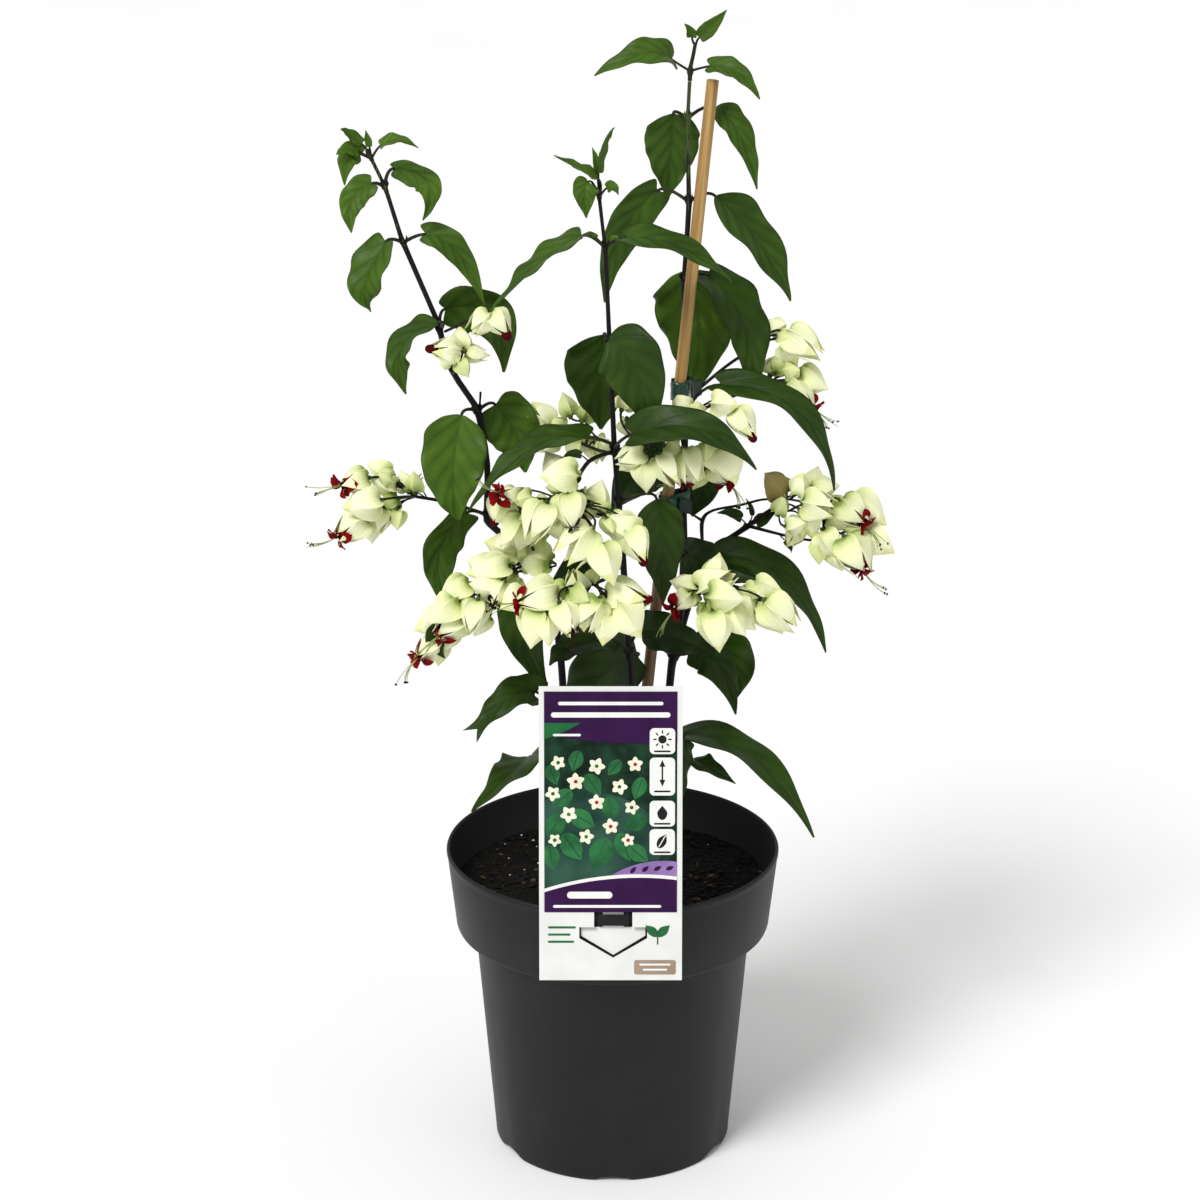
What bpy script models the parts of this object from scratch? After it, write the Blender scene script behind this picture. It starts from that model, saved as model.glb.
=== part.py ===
"""Bleeding heart vine in a nursery pot: pot, soil, stake, two ties, hanging label, three stems,
leaves one by one, tip shoots and the flower clusters. Metres, +Z up, +Y away from the label side,
origin at the centre of the pot's underside."""
import math
import random

import bmesh
import bpy
from mathutils import Matrix, Vector

MM = 0.001
# ---- driving dimensions, millimetres -------------------------------------------------------
POT_HEIGHT = 190.0
RIM_R = 100.0          # outside radius of the rim
COLLAR_LOW_R = 94.2    # outside radius at the collar's lower edge
COLLAR_LOW_Z = 141.0
BODY_TOP_R = 83.2      # outside radius just under the collar
FOOT_R = 71.3
FLOOR_TOP_Z = 6.5
PAD_R = 18.0           # flat pad in the middle of the underside
SOIL_Z = 165.0
SOIL_DEPTH_GAP = 0.5   # under the soil, above the pot's floor
POT_SIDES = 40
BAR_Z = 186.5          # label loop on the collar
BAR_W = 18.0
LABEL_W, LABEL_H, LABEL_T = 82.0, 171.0, 0.8
LABEL_LEAN = math.radians(12.0)
STAKE_R = 3.5
BURIED_Z = 124.0       # how deep stems and stake reach
HOLE_GAP = 0.45
STEM_SIDES = 6
ROOT_GAP = 0.35        # a petiole's end face stands this far off its stem
BLADE_T = 0.8
PETIOLE_R = 1.1

# ---- stems: (x, y, z, radius) from the soil up; the swollen ones are the nodes -------------
STEM_LEFT = [
    (-24, -10, BURIED_Z, 2.4), (-24, -10, 168, 2.4), (-26, -10, 222, 2.3), (-29, -10, 286, 2.2),
    (-32, -9, 324, 2.1), (-40, -8, 358, 2.2), (-57, -5, 380, 2.0), (-72, -1, 393, 2.1),
    (-73, 0, 397, 2.6), (-73.4, 0, 401, 2.0), (-73, 0, 429, 1.9), (-77, 0, 456, 2.0),
    (-78.5, 0, 461, 2.7), (-80, 0, 465, 1.9), (-93, 0, 486, 1.8), (-98.5, 0, 506, 1.8),
    (-99.5, 0, 510, 2.5), (-100.5, 0, 514, 1.6), (-117.5, 0, 556, 1.6), (-119, 0, 560, 2.2),
    (-120.5, 0, 564, 1.4), (-127.5, 0, 588, 1.3), (-129, 0, 592, 1.9), (-130.5, 0, 596, 1.1),
    (-136, 0, 608, 1.1)]
STEM_CENTRE = [
    (13, -26, BURIED_Z, 2.1), (13, -26, 168, 2.1), (12, -26, 261, 2.1), (10, -26, 316, 2.1),
    (9, -26, 322, 2.6), (8.8, -26, 328, 2.0), (5.8, -24.5, 378, 1.9), (3.4, -22.8, 408, 1.9),
    (3, -22.5, 413, 2.6), (2.6, -22.2, 418, 1.8), (1.2, -20.3, 439, 1.7), (0.8, -20, 444, 2.5),
    (0.4, -19.8, 449, 1.6), (-1.8, -16, 500, 1.5), (-2, -16, 505, 2.2), (-2.4, -16, 510, 1.4),
    (-4.4, -12.4, 556, 1.3), (-4.7, -12, 560, 1.9), (-5.2, -12, 564, 1.1), (-8, -10, 588, 1.1)]
STEM_RIGHT = [
    (31, 15, BURIED_Z, 2.6), (31, 15, 168, 2.6), (30.5, 14, 226, 2.6), (31, 14, 247, 2.5),
    (31.2, 14, 251, 3.2), (31.6, 14.2, 255, 2.5), (35, 17, 296, 2.5), (36.5, 18, 303, 3.2),
    (38, 19, 310, 2.4), (41, 20, 338, 2.3), (41.8, 20.8, 368, 2.2), (42, 21, 373, 3.0),
    (42, 21, 378, 2.1), (41, 21.4, 424, 2.0), (41.4, 21.6, 429, 2.7), (42, 21.8, 434, 2.0),
    (42.4, 22, 450, 2.0), (42.6, 22, 454, 2.7), (42.6, 22, 458, 1.9), (41, 23.4, 528, 1.8),
    (41, 23.4, 533, 2.5), (41.2, 23.2, 538, 1.6), (43, 20, 574, 1.6), (43, 20, 579, 2.2),
    (43, 20, 584, 1.4), (42, 20, 622, 1.3), (42, 20, 627, 2.0), (42.2, 20, 632, 1.1),
    (42.9, 20, 648, 1.1)]
TIP_RIGHT = [(43, 20, 648.5, 1.3), (43.1, 20, 651, 1.3), (43.2, 20, 654, 2.0), (43.5, 20, 657, 1.2),
             (45, 20, 664, 1.1), (46, 20, 670, 1.0)]
SIDE_BRANCH = [(36.5, 18, 303, 2.1), (44, 26, 328, 1.9), (52, 31, 352, 1.8), (58, 30, 364, 2.3),
               (62, 29, 369, 1.7), (76, 23, 381, 1.7), (79, 22, 384, 2.4)]
STAKE_TOP = Vector((56, 20, 649))
STAKE_LOW = Vector((8.7, 6.5, 165))

# ---- leaves: node, blade base, middle of the midrib, tip, width, side the blade faces ------
FRONT = (0.0, -1.0, 0.3)
LEAVES = [
    ("leaf_left_3a", (-129, 0, 592), (-136, -4, 595), (-147, -9, 585), (-147, -14, 569), 16, (0.2, -1, 1)),
    ("leaf_left_3b", (-129, 0, 592), (-123, -3, 603), (-104, -6, 595), (-107, -10, 575), 17, (0.2, -1, -0.6)),
    ("leaf_left_4a", (-119, 0, 560), (-129, -6, 562), (-140, -12, 540), (-137, -12, 523), 24, (0, -0.3, 1)),
    ("leaf_left_4b", (-119, 0, 560), (-106, -4, 566), (-88, -6, 556), (-73, -10, 526), 16, (-0.2, -1, 0.9)),
    ("leaf_left_5a", (-99, 0, 510), (-100, -12, 517), (-121, -12, 501), (-118, -14, 475), 22, (-0.1, -0.3, 1)),
    ("leaf_left_5b", (-99, 0, 510), (-96, 9, 519), (-70, 11, 514), (-63, 7, 482), 31, (0.3, -1, -0.4)),
    ("leaf_left_6a", (-78, 0, 461), (-87, -12, 462), (-92, -19, 430), (-89, -20, 401), 37, FRONT),
    ("leaf_left_6b", (-78, 0, 461), (-68, 9, 462), (-56, 9, 443), (-51, 3, 423), 32, FRONT),
    ("leaf_left_7", (-73, 0, 397), (-85, -10, 402), (-101, -12, 377), (-95, -14, 343), 24, (0.2, -1, -0.8)),
    ("leaf_low_left_a", (-40, -8, 358), (-50, -11, 352), (-53, -14, 331), (-37, -14, 290), 27, FRONT),
    ("leaf_low_left_b", (-29, -10, 286), (-45, -32, 300), (-61, -48, 302), (-86, -60, 278), 25, (-0.5, -1, 0.7)),
    ("leaf_low_left_c", (-27, -10, 250), (-49, -30, 259), (-57, -58, 262), (-81, -92, 250), 27, (-0.3, -0.5, 1)),
    ("leaf_centre_3a", (-4.7, -12, 560), (-18, -20, 569), (-42, -36, 557), (-69, -46, 532), 23, (-0.1, 0, 1)),
    ("leaf_centre_3b", (-4.7, -12, 560), (7, -20, 568), (37, -30, 565), (67, -34, 545), 21, (0.6, -0.6, 1)),
    ("leaf_centre_4a", (-2, -16, 505), (-5.5, -6, 507.5), (-7, 3, 480), (-7, 6, 448), 42, FRONT),
    ("leaf_centre_4b", (-2, -16, 505), (-3, -26, 510), (13, -32, 492), (21, -34, 455), 36, FRONT),
    ("leaf_centre_5a", (0.8, -20, 446), (-14, -34, 456), (-48, -48, 452), (-82, -56, 419), 23, (-0.6, -0.5, 1)),
    ("leaf_centre_5b", (0.8, -20, 444), (11, -42, 460), (48, -52, 466), (81, -50, 441), 28, (0.2, -0.8, 0.8)),
    ("leaf_centre_6", (3, -22.5, 413), (25, -27, 416), (28, -27, 387), (29, -25, 352), 27, FRONT),
    ("leaf_centre_7a", (9, -26, 322), (-1, -36, 334), (-23, -46, 333), (-37, -52, 324), 25, (-0.4, -0.6, 1)),
    ("leaf_centre_7b", (9, -26, 322), (14, -14, 316), (-11, 6, 289), (-22, 14, 257), 40, (0, -1, 0.5)),
    ("leaf_centre_7c", (9, -26, 323), (17, -20, 334), (36, -10, 326), (58, -6, 314), 25, (0.4, -0.9, 0.7)),
    ("leaf_right_3a", (42, 20, 627), (34, 28, 628), (33, 33, 605), (31, 32, 578), 31, FRONT),
    ("leaf_right_3b", (42, 20, 627), (58, 32, 631), (72, 24, 617), (82, 17, 587), 17, (0.4, -1, 0.6)),
    ("leaf_right_4a", (43, 20, 579), (25, 26, 584), (4, 30, 556), (-5, 28, 518), 22, (0, -1, -0.1)),
    ("leaf_right_4b", (43, 20, 579), (59, 32, 580), (84, 20, 555), (102, 12, 523), 29, (0.4, -0.7, 1)),
    ("leaf_right_5a", (41, 23.4, 533), (45, 35, 536), (50, 43, 502), (48, 40, 459), 49, (-0.2, -1, 0.1)),
    ("leaf_right_5b", (41, 23.4, 533), (55, 28, 534), (76, 12, 508), (80, 6, 468), 32, (0, -0.2, 1)),
    ("leaf_right_6", (42.6, 22, 454), (62, 0, 477), (106, -18, 466), (127, -26, 421), 22, (0.9, -0.9, 1)),
    ("leaf_right_6b", (41.4, 21.6, 429), (54, 32, 428), (53, 35, 406), (47, 34, 386), 24, FRONT),
    ("leaf_right_6c", (41.4, 21.6, 429), (31, 30, 423), (14, 33, 412), (-1, 30, 390), 30, FRONT),
    ("leaf_right_7", (42, 21, 373), (43, 5, 373), (61, -7, 370), (86, -15, 363), 24, (0.1, -1, 0)),
    ("leaf_right_8", (58, 30, 364), (64, 10, 370), (101, 2, 358), (126, -4, 314), 24, (0.9, -1, 1)),
    ("leaf_right_10", (36.8, 18, 305), (45, 22, 303.5), (62, 20, 298), (74, 16, 267), 24, (0.5, -1, -0.4)),
    ("leaf_right_11", (36.3, 18, 301), (51, 34, 312), (72, 36, 294), (75, 32, 272), 32, (0.2, -1, -0.1)),
]
WIDE_LEAVES = {"leaf_left_6a", "leaf_centre_4a", "leaf_centre_4b", "leaf_right_5a"}
LOW_SHOOT = [
    ((31.2, 14, 251), (41, 2, 260), (82, -40, 262), (115, -92, 234), 25, (0.2, -0.4, 1)),
    ((38, 8, 256), (48, 4, 244), (56, -6, 243), (73, -16, 236), 15, (0.4, -0.7, 0.9)),
    ((37, 9, 255), (43, -8, 262), (42, -14, 248), (41, -16, 222), 15, (0.9, -0.5, 0.3)),
]
SHOOT_LEFT = [
    ((-136, 0, 608), (-141, -1, 617), (-148, -3, 623), (-152, -6, 627), 8, (-0.4, -0.7, 1)),
    ((-136, 0, 608), (-143, -2, 613), (-149, -6, 615), (-155, -10, 613), 10, (-0.2, -1, 0.7)),
    ((-136, 0, 608), (-142, -1, 611), (-149, -4, 609), (-151, -5, 594), 13, FRONT),
    ((-136, 0, 608), (-131, -1, 616), (-121, -4, 620), (-109, -6, 616), 10, (0.4, -0.6, 1)),
    ((-136, 0, 608), (-137, 0, 615), (-138, 0, 620), (-139, 0, 624), 4, FRONT),
]
SHOOT_CENTRE = [
    ((-8, -10, 588), (-9, -11, 600), (-19, -13, 606), (-33, -16, 614), 12, (-0.4, -0.3, 1)),
    ((-8, -10, 588), (-8, -10, 602), (-5, -11, 618), (1, -12, 628), 9, (1, -0.5, 0.1)),
    ((-8, -10, 588), (-14, -13, 598), (-16, -16, 592), (-15, -17, 578), 15, (0.2, -1, 0.2)),
    ((-8, -10, 588), (-4, -12, 594), (0, -14, 595), (3, -15, 591), 7, (0.3, -1, 0.6)),
    ((-8, -10, 588), (-9, -9, 602), (-10, -8, 610), (-12, -7, 616), 4, FRONT),
]
SHOOT_RIGHT = [
    ((46, 20, 668), (44, 19, 673), (43, 18, 677), (40, 17, 681), 6, FRONT),
    ((46, 20, 668), (48, 19, 673), (56, 17, 681), (63, 14, 689), 9, (0.5, -0.9, 0.6)),
    ((43.2, 20, 654), (33, 14, 662), (16, 4, 667), (-11, 2, 655), 20, (0, -0.8, 1)),
    ((43.2, 20, 654), (54, 15, 658), (69, 8, 656), (82, 4, 641), 13, (-0.1, -0.8, 1)),
]

# ---- flower clusters: peduncle from its stem to the hub, then the calyces -------------------
# calyx: x, y, z of its foot, direction in the XZ plane (degrees), visible length, kind
# kinds: c closed bag, o open, r open with a red corolla, w open with a withered one, b old
BLOOMS = {
    "bloom_left_top": ([(-92.5, -3, 484, 1.0), (-90, -8, 487, 0.9), (-88, -11, 493, 0.9)], [
        (-91, -14, 494, 130, 12, "c"), (-88, -13, 500, 170, 15, "r"), (-86, -7, 500, 100, 12, "c"),
        (-84, -10, 499, -20, 12, "o")]),
    "bloom_left_high": ([(-96.4, -2, 508.5, 0.8), (-82, -5, 516, 0.8), (-73, -7, 520, 0.8)], [
        (-70, -9, 521, -135, 14, "o"), (-69, -9, 522, -55, 14, "r")]),
    "bloom_left": ([(-73, 0, 398, 1.2), (-96, 5, 404, 1.1), (-114, -6, 411, 1.0)], [
        (-141, -18, 426, -170, 15, "r"), (-134, -25, 415, -175, 20, "c"), (-126, -10, 419, 160, 14, "c"),
        (-130, -2, 424, 155, 13, "c"), (-143, -20, 402, -150, 18, "r"), (-141, -6, 399, -80, 14, "c"),
        (-132, -16, 407, -110, 13, "o"), (-119, -4, 414, 115, 10, "c")]),
    "bloom_mid": ([(-3.4, -22, 442, 1.3), (-14, -38, 442, 1.2), (-22, -52, 432, 1.2), (-24, -56, 422, 1.1)], [
        (-21, -62, 441, 170, 20, "c"), (-41, -60, 430, -165, 22, "r"), (-38, -72, 428, -115, 20, "o"),
        (-26, -70, 433, -80, 18, "w"), (-36, -50, 423, -115, 13, "c"), (-12, -72, 413, -135, 23, "o"),
        (-8, -76, 405, -70, 22, "c"), (9, -66, 411, -65, 18, "r"), (13, -60, 408, 160, 20, "c"),
        (-11, -46, 417, 75, 15, "c"), (-10, -60, 401, -95, 14, "c"), (-60, -50, 424, -115, 17, "r"),
        (-49, -54, 415, -110, 20, "o"), (-49, -40, 410, -90, 15, "c")]),
    "bloom_front": ([(4.4, -30, 376, 1.3), (-2, -52, 378, 1.2), (-12, -66, 378, 1.1)], [
        (-32, -76, 377, -170, 22, "r"), (-43, -80, 368, -105, 20, "c"), (-38, -84, 365, -85, 15, "c"),
        (-30, -88, 374, -65, 17, "w"), (-8, -82, 375, -125, 17, "o"), (-2, -80, 366, -105, 17, "c"),
        (2, -76, 371, -55, 22, "c"), (-3, -70, 373, 0, 22, "r"), (-20, -66, 374, 100, 14, "o")]),
    "bloom_low_left": ([(-60, -7.5, 381, 1.2), (-66, -30, 372, 1.1), (-72, -46, 362, 1.1)], [
        (-53, -42, 390, 170, 20, "c"), (-36, -44, 384, 175, 19, "c"), (-60, -54, 385, -175, 22, "c"),
        (-64, -58, 374, 170, 17, "c"), (-62, -64, 379, -115, 13, "w"), (-82, -54, 374, -155, 17, "c"),
        (-88, -62, 367, -145, 19, "c"), (-77, -68, 369, -105, 17, "o"), (-86, -58, 356, -145, 17, "r"),
        (-74, -50, 354, -110, 12, "c"), (-97, -50, 352, -165, 17, "c"), (-100, -58, 341, -145, 14, "r"),
        (-99, -50, 337, -100, 12, "c")]),
    "bloom_right_mid": ([(2.4, -17.6, 442.5, 1.3), (16, -14, 445, 1.2), (32, -14, 452, 1.1), (50, -14, 456, 1.0)], [
        (17, -32, 446, -160, 15, "o"), (15, -20, 440, -150, 13, "c"), (18, -34, 441, -85, 16, "c"),
        (26, -36, 445, -60, 17, "o"), (40, -30, 447, -75, 18, "o"), (53, -24, 446, -75, 13, "c"),
        (61, -28, 447, -60, 20, "c"), (41, -20, 468, 115, 10, "c"), (56, -22, 472, 0, 15, "c"),
        (69, -22, 468, -55, 17, "r"), (5, -10, 465, 65, 11, "c"), (8, -8, 458, -80, 12, "c")]),
    "bloom_low_right": ([(41, 20, 340, 1.1), (46, -4, 350, 1.0), (56, -26, 360, 1.0)], [
        (47, -28, 364, 165, 14, "c"), (44, -36, 362, -140, 11, "r"), (51, -32, 363, 35, 20, "o"),
        (55, -44, 364, 0, 19, "c"), (57, -50, 356, -80, 21, "c"), (63, -40, 355, -50, 19, "c"),
        (66, -30, 354, -45, 20, "c"), (82, -30, 366, -10, 15, "c"), (87, -42, 360, -40, 24, "r"),
        (86, -26, 354, -50, 20, "c")]),
    "bloom_right": ([(79.3, 21.9, 384.3, 1.2), (90, 14, 395, 1.1), (98, 6, 403, 1.1)], [
        (100, 4, 410, 130, 18, "b"), (106, -2, 412, 75, 13, "c"), (116, 10, 410, 75, 13, "c"),
        (117, 4, 413, 15, 14, "c"), (110, -10, 409, -10, 17, "o"), (132, -4, 408, -40, 18, "r"),
        (139, 6, 404, -25, 22, "c"), (101, -8, 394, 20, 12, "c"), (109, 4, 390, -120, 12, "o"),
        (122, -8, 391, -60, 17, "c"), (134, -14, 389, -60, 22, "r"), (146, -2, 387, -25, 19, "c")]),
    "bloom_right_top": ([(43.2, 24.8, 461, 1.1), (66, 28, 480, 1.0), (84, 22, 494, 1.0)], [
        (91, 22, 504, 30, 9, "c"), (100, 8, 505, -30, 21, "o"), (99, 14, 497, -60, 13, "c")]),
    "bloom_right_up": ([(46.4, 24, 452.4, 1.1), (70, 24, 463, 1.0), (88, 16, 472, 1.0)], [
        (91, 18, 478, 65, 11, "c"), (100, 8, 475, -40, 20, "r"), (107, 14, 478, -15, 17, "c"),
        (103, 20, 473, -30, 12, "c")]),
    "bloom_tie": ([(43.4, 18.2, 425.5, 1.0), (50, 12, 427, 0.9), (54, 8, 427, 0.9)], [
        (50, 4, 427, -150, 13, "r"), (57, 6, 426, -40, 13, "r")]),
}
CALYX_MIN, CALYX_MAX = 14.0, 24.0
BLOOM_KEEP = 0.60      # share of a joined cluster's facets that is kept


# ---- small helpers ----------------------------------------------------------------------
def material(name, rgb):
    mat = bpy.data.materials.new(name)
    mat.use_nodes = True
    mat.node_tree.nodes["Principled BSDF"].inputs["Base Color"].default_value = (*rgb, 1.0)
    mat.node_tree.nodes["Principled BSDF"].inputs["Roughness"].default_value = 0.6
    return mat


def new_object(name, bm, mat=None, collection=None):
    mesh = bpy.data.meshes.new(name)
    bmesh.ops.recalc_face_normals(bm, faces=bm.faces)
    bm.to_mesh(mesh)
    bm.free()
    obj = bpy.data.objects.new(name, mesh)
    if mat:
        mesh.materials.append(mat)
    (collection or PARTS).objects.link(obj)
    return obj


def bake(obj):
    """Applies an object's modifiers."""
    graph = bpy.context.evaluated_depsgraph_get()
    mesh = bpy.data.meshes.new_from_object(obj.evaluated_get(graph))
    old = obj.data
    obj.modifiers.clear()
    obj.data = mesh
    bpy.data.meshes.remove(old)


def union_of(name, pieces, mat, solver="MANIFOLD", keep=1.0):
    """Joins the pieces into one body with one Boolean union, then removes them."""
    first, rest = pieces[0], pieces[1:]
    group = bpy.data.collections.new(name + "_pieces")
    PARTS.children.link(group)
    for obj in rest:
        for coll in list(obj.users_collection):
            coll.objects.unlink(obj)
        group.objects.link(obj)
    mod = first.modifiers.new("join", "BOOLEAN")
    mod.operation = "UNION"
    mod.operand_type = "COLLECTION"
    mod.collection = group
    mod.solver = solver
    if keep < 1.0:
        thin = first.modifiers.new("thin", "DECIMATE")
        thin.ratio = keep
    bake(first)
    for obj in rest:
        bpy.data.objects.remove(obj)
    bpy.data.collections.remove(group)
    first.name = name
    first.data.name = name
    first.data.materials.clear()
    first.data.materials.append(mat)
    return first


def cut(obj, cutters, solver="EXACT"):
    """Takes the cutters out of obj; they stay as hidden wire objects in their own collection."""
    for cutter in cutters:
        for coll in list(cutter.users_collection):
            coll.objects.unlink(cutter)
        CUTTERS.objects.link(cutter)
        cutter.hide_render = True
        cutter.display_type = "WIRE"
        mod = obj.modifiers.new("cut_" + cutter.name, "BOOLEAN")
        mod.operation = "DIFFERENCE"
        mod.solver = solver
        mod.object = cutter
    bake(obj)


def turned(name, profile, sides, mat):
    """Spins a profile (radius, z) about Z; both ends lie on the axis."""
    mesh = bpy.data.meshes.new(name)
    points = [(r * MM, 0.0, z * MM) for r, z in profile]
    mesh.from_pydata(points, [(i, i + 1) for i in range(len(points) - 1)], [])
    obj = bpy.data.objects.new(name, mesh)
    PARTS.objects.link(obj)
    screw = obj.modifiers.new("turn", "SCREW")
    screw.axis = "Z"
    screw.angle = 2 * math.pi
    screw.steps = screw.render_steps = sides
    screw.use_merge_vertices = True
    screw.merge_threshold = 0.00005
    bake(obj)
    obj.data.materials.append(mat)
    return obj


def tube(name, points, sides, mat=None):
    """A round stem through points (x, y, z, radius), as a bevelled curve with filled ends."""
    curve = bpy.data.curves.new(name, "CURVE")
    curve.dimensions = "3D"
    curve.bevel_depth = 1.0
    curve.bevel_resolution = max(0, (sides - 4) // 2)
    curve.use_fill_caps = True
    line = curve.splines.new("POLY")
    line.points.add(len(points) - 1)
    for point, (x, y, z, radius) in zip(line.points, points):
        point.co = (x * MM, y * MM, z * MM, 1.0)
        point.radius = radius * MM
    holder = bpy.data.objects.new(name + "_path", curve)
    bpy.context.scene.collection.objects.link(holder)
    graph = bpy.context.evaluated_depsgraph_get()
    mesh = bpy.data.meshes.new_from_object(holder.evaluated_get(graph))
    bpy.data.objects.remove(holder)
    bpy.data.curves.remove(curve)
    bm = bmesh.new()
    bm.from_mesh(mesh)
    bpy.data.meshes.remove(mesh)
    bmesh.ops.remove_doubles(bm, verts=bm.verts, dist=0.000002)
    return new_object(name, bm, mat)


def box(name, size, centre, mat=None, turn=None):
    bm = bmesh.new()
    bmesh.ops.create_cube(bm, size=1.0)
    bmesh.ops.scale(bm, vec=Vector(size) * MM, verts=bm.verts)
    if turn is not None:
        bmesh.ops.transform(bm, matrix=turn, verts=bm.verts)
    bmesh.ops.translate(bm, vec=Vector(centre) * MM, verts=bm.verts)
    return new_object(name, bm, mat)


def rod(name, start, end, radius, sides, mat=None):
    """A straight round bar between two points."""
    start, end = Vector(start) * MM, Vector(end) * MM
    bm = bmesh.new()
    bmesh.ops.create_cone(bm, cap_ends=True, segments=sides, radius1=radius * MM,
                          radius2=radius * MM, depth=(end - start).length)
    turn = (end - start).to_track_quat("Z", "Y").to_matrix().to_4x4()
    bmesh.ops.transform(bm, matrix=turn, verts=bm.verts)
    bmesh.ops.translate(bm, vec=(start + end) / 2, verts=bm.verts)
    return new_object(name, bm, mat)


def skin(bm, rings):
    """Lofts equal rings of points with triangles, the same diagonal all the way, caps at both ends."""
    rows = [[bm.verts.new(p * MM) for p in ring] for ring in rings]
    count = len(rows[0])
    half = count // 2
    for low, high in zip(rows, rows[1:]):
        for i in range(count):
            j = (i + 1) % count
            # the first half of the ring is the upper face, the second half runs back below it
            if i < half:
                bm.faces.new((low[i], low[j], high[i]))
                bm.faces.new((low[j], high[j], high[i]))
            else:
                bm.faces.new((low[i], low[j], high[j]))
                bm.faces.new((low[i], high[j], high[i]))
    bm.faces.new(rows[0])
    bm.faces.new(rows[-1])
    bmesh.ops.triangulate(bm, faces=[f for f in bm.faces if len(f.verts) > 4])


# ---- leaves ------------------------------------------------------------------------------
# station: midrib position, margin position, half width, all along a blade of length 1
BLADE = [(0.0, -0.015, 0.12), (0.05, -0.06, 0.58), (0.15, 0.06, 0.92), (0.30, 0.25, 1.0),
         (0.48, 0.45, 0.94), (0.66, 0.64, 0.71), (0.81, 0.80, 0.42), (0.92, 0.915, 0.19),
         (1.0, 1.0, 0.035)]
SMALL_BLADE = [(0.0, 0.0, 0.14), (0.10, 0.02, 0.75), (0.32, 0.27, 1.0), (0.58, 0.55, 0.74),
               (0.82, 0.81, 0.32), (1.0, 1.0, 0.05)]


def arc(a, m, b, t):
    """A bow from a to b that passes through m half way."""
    c = 2 * m - (a + b) / 2
    return a * (1 - t) ** 2 + c * 2 * t * (1 - t) + b * t ** 2


def blade_frame(a, m, b, t, face):
    u = min(max(t, 0.0), 1.0)
    place = arc(a, m, b, u)
    along = (arc(a, m, b, min(u + 0.01, 1.0)) - arc(a, m, b, max(u - 0.01, 0.0))).normalized()
    if t < 0:
        place = place + along * t * (b - a).length
    up = (face - along * face.dot(along)).normalized()
    return place, along, along.cross(up).normalized(), up


def section(place, side, up, half_width, rise, thick, columns):
    """One ring across a blade: the top from one margin to the other, then the underside back."""
    top, under = [], []
    for k in range(columns):
        x = -1 + 2 * k / (columns - 1)
        point = place(x) + side(x) * half_width * x + up(x) * rise * (abs(x) ** 1.3) * half_width
        t = thick * (1.5 if abs(x) < 0.01 else 1.0)
        top.append(point + up(x) * thick / 2)
        under.append(point - up(x) * (t - thick / 2))
    return top + under[::-1]


def leaf_rings(start, base, mid, tip, width, face, columns, out=None, petiole=PETIOLE_R, rise=0.22,
               blade=BLADE):
    start, base, mid, tip, face = (Vector(v) for v in (start, base, mid, tip, face))
    _, along0, side0, up0 = blade_frame(base, mid, tip, 0.0, face)
    rings = []
    bend = base - along0 * (base - start).length * 0.35
    lobes = (base - start).normalized().dot(along0) > 0.35
    up = up0
    for t in (0.55, 0.0):
        place = start * (1 - t) ** 2 + bend * 2 * t * (1 - t) + base * t ** 2
        along = out if t == 0.0 and out else ((bend - start) * (1 - t) + (base - bend) * t).normalized()
        side = along.cross(up).normalized()
        up = side.cross(along)
        ring = []
        for k in range(2 * columns):
            angle = math.pi * ((k + 0.5) / columns - 1)
            ring.append(place + side * math.cos(angle) * petiole - up * math.sin(angle) * petiole)
        rings.insert(0, ring)
    for s_mid, s_edge, w in blade:
        frames = {}
        s_edge = s_edge if lobes else max(s_edge, s_mid)

        def at(x):
            key = round(abs(x), 3)
            if key not in frames:
                frames[key] = blade_frame(base, mid, tip, s_mid + (s_edge - s_mid) * key, face)
            return frames[key]
        half_width = max(width / 2 * w, 0.45 if s_mid == 1.0 else petiole * (1.25 if s_mid == 0 else 0.6))
        rings.append(section(lambda x: at(x)[0], lambda x: at(x)[2], lambda x: at(x)[3],
                             half_width, rise, BLADE_T, columns))
    return rings


def leaf(name, data, mat, columns=3, **more):
    start, base, mid, tip, width, face = data
    bm = bmesh.new()
    skin(bm, leaf_rings(start, base, mid, tip, width, face, columns, **more))
    return new_object(name, bm, mat)


# ---- flowers -----------------------------------------------------------------------------
def ring_round(bm, centre, axis, toward, radii, phase=0.0, steps=None):
    """A ring of points round an axis; radii and forward steps alternate when two are given."""
    u = (toward - axis * toward.dot(axis)).normalized()
    v = axis.cross(u)
    count = 5 * len(radii)
    out = []
    for i in range(count):
        a = 2 * math.pi * i / count + phase
        r = radii[i % len(radii)]
        step = steps[i % len(steps)] if steps else 0.0
        out.append(bm.verts.new((centre + (u * math.cos(a) + v * math.sin(a)) * r + axis * step) * MM))
    return out


def join_rings(bm, a, b):
    """Triangles between two rings of five or ten points, or from a ring to one point."""
    if len(b) == 1:
        for i in range(len(a)):
            bm.faces.new((a[i], a[(i + 1) % len(a)], b[0]))
    elif len(a) == len(b):
        for i in range(len(a)):
            j = (i + 1) % len(a)
            bm.faces.new((a[i], a[j], b[j]))
            bm.faces.new((a[i], b[j], b[i]))
    else:
        few, many = (a, b) if len(a) < len(b) else (b, a)
        for i in range(5):
            j = (i + 1) % 5
            bm.faces.new((few[i], many[2 * i], many[2 * i + 1]))
            bm.faces.new((few[i], many[2 * i + 1], few[j]))
            bm.faces.new((few[j], many[2 * i + 1], many[(2 * i + 2) % 10]))


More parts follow.
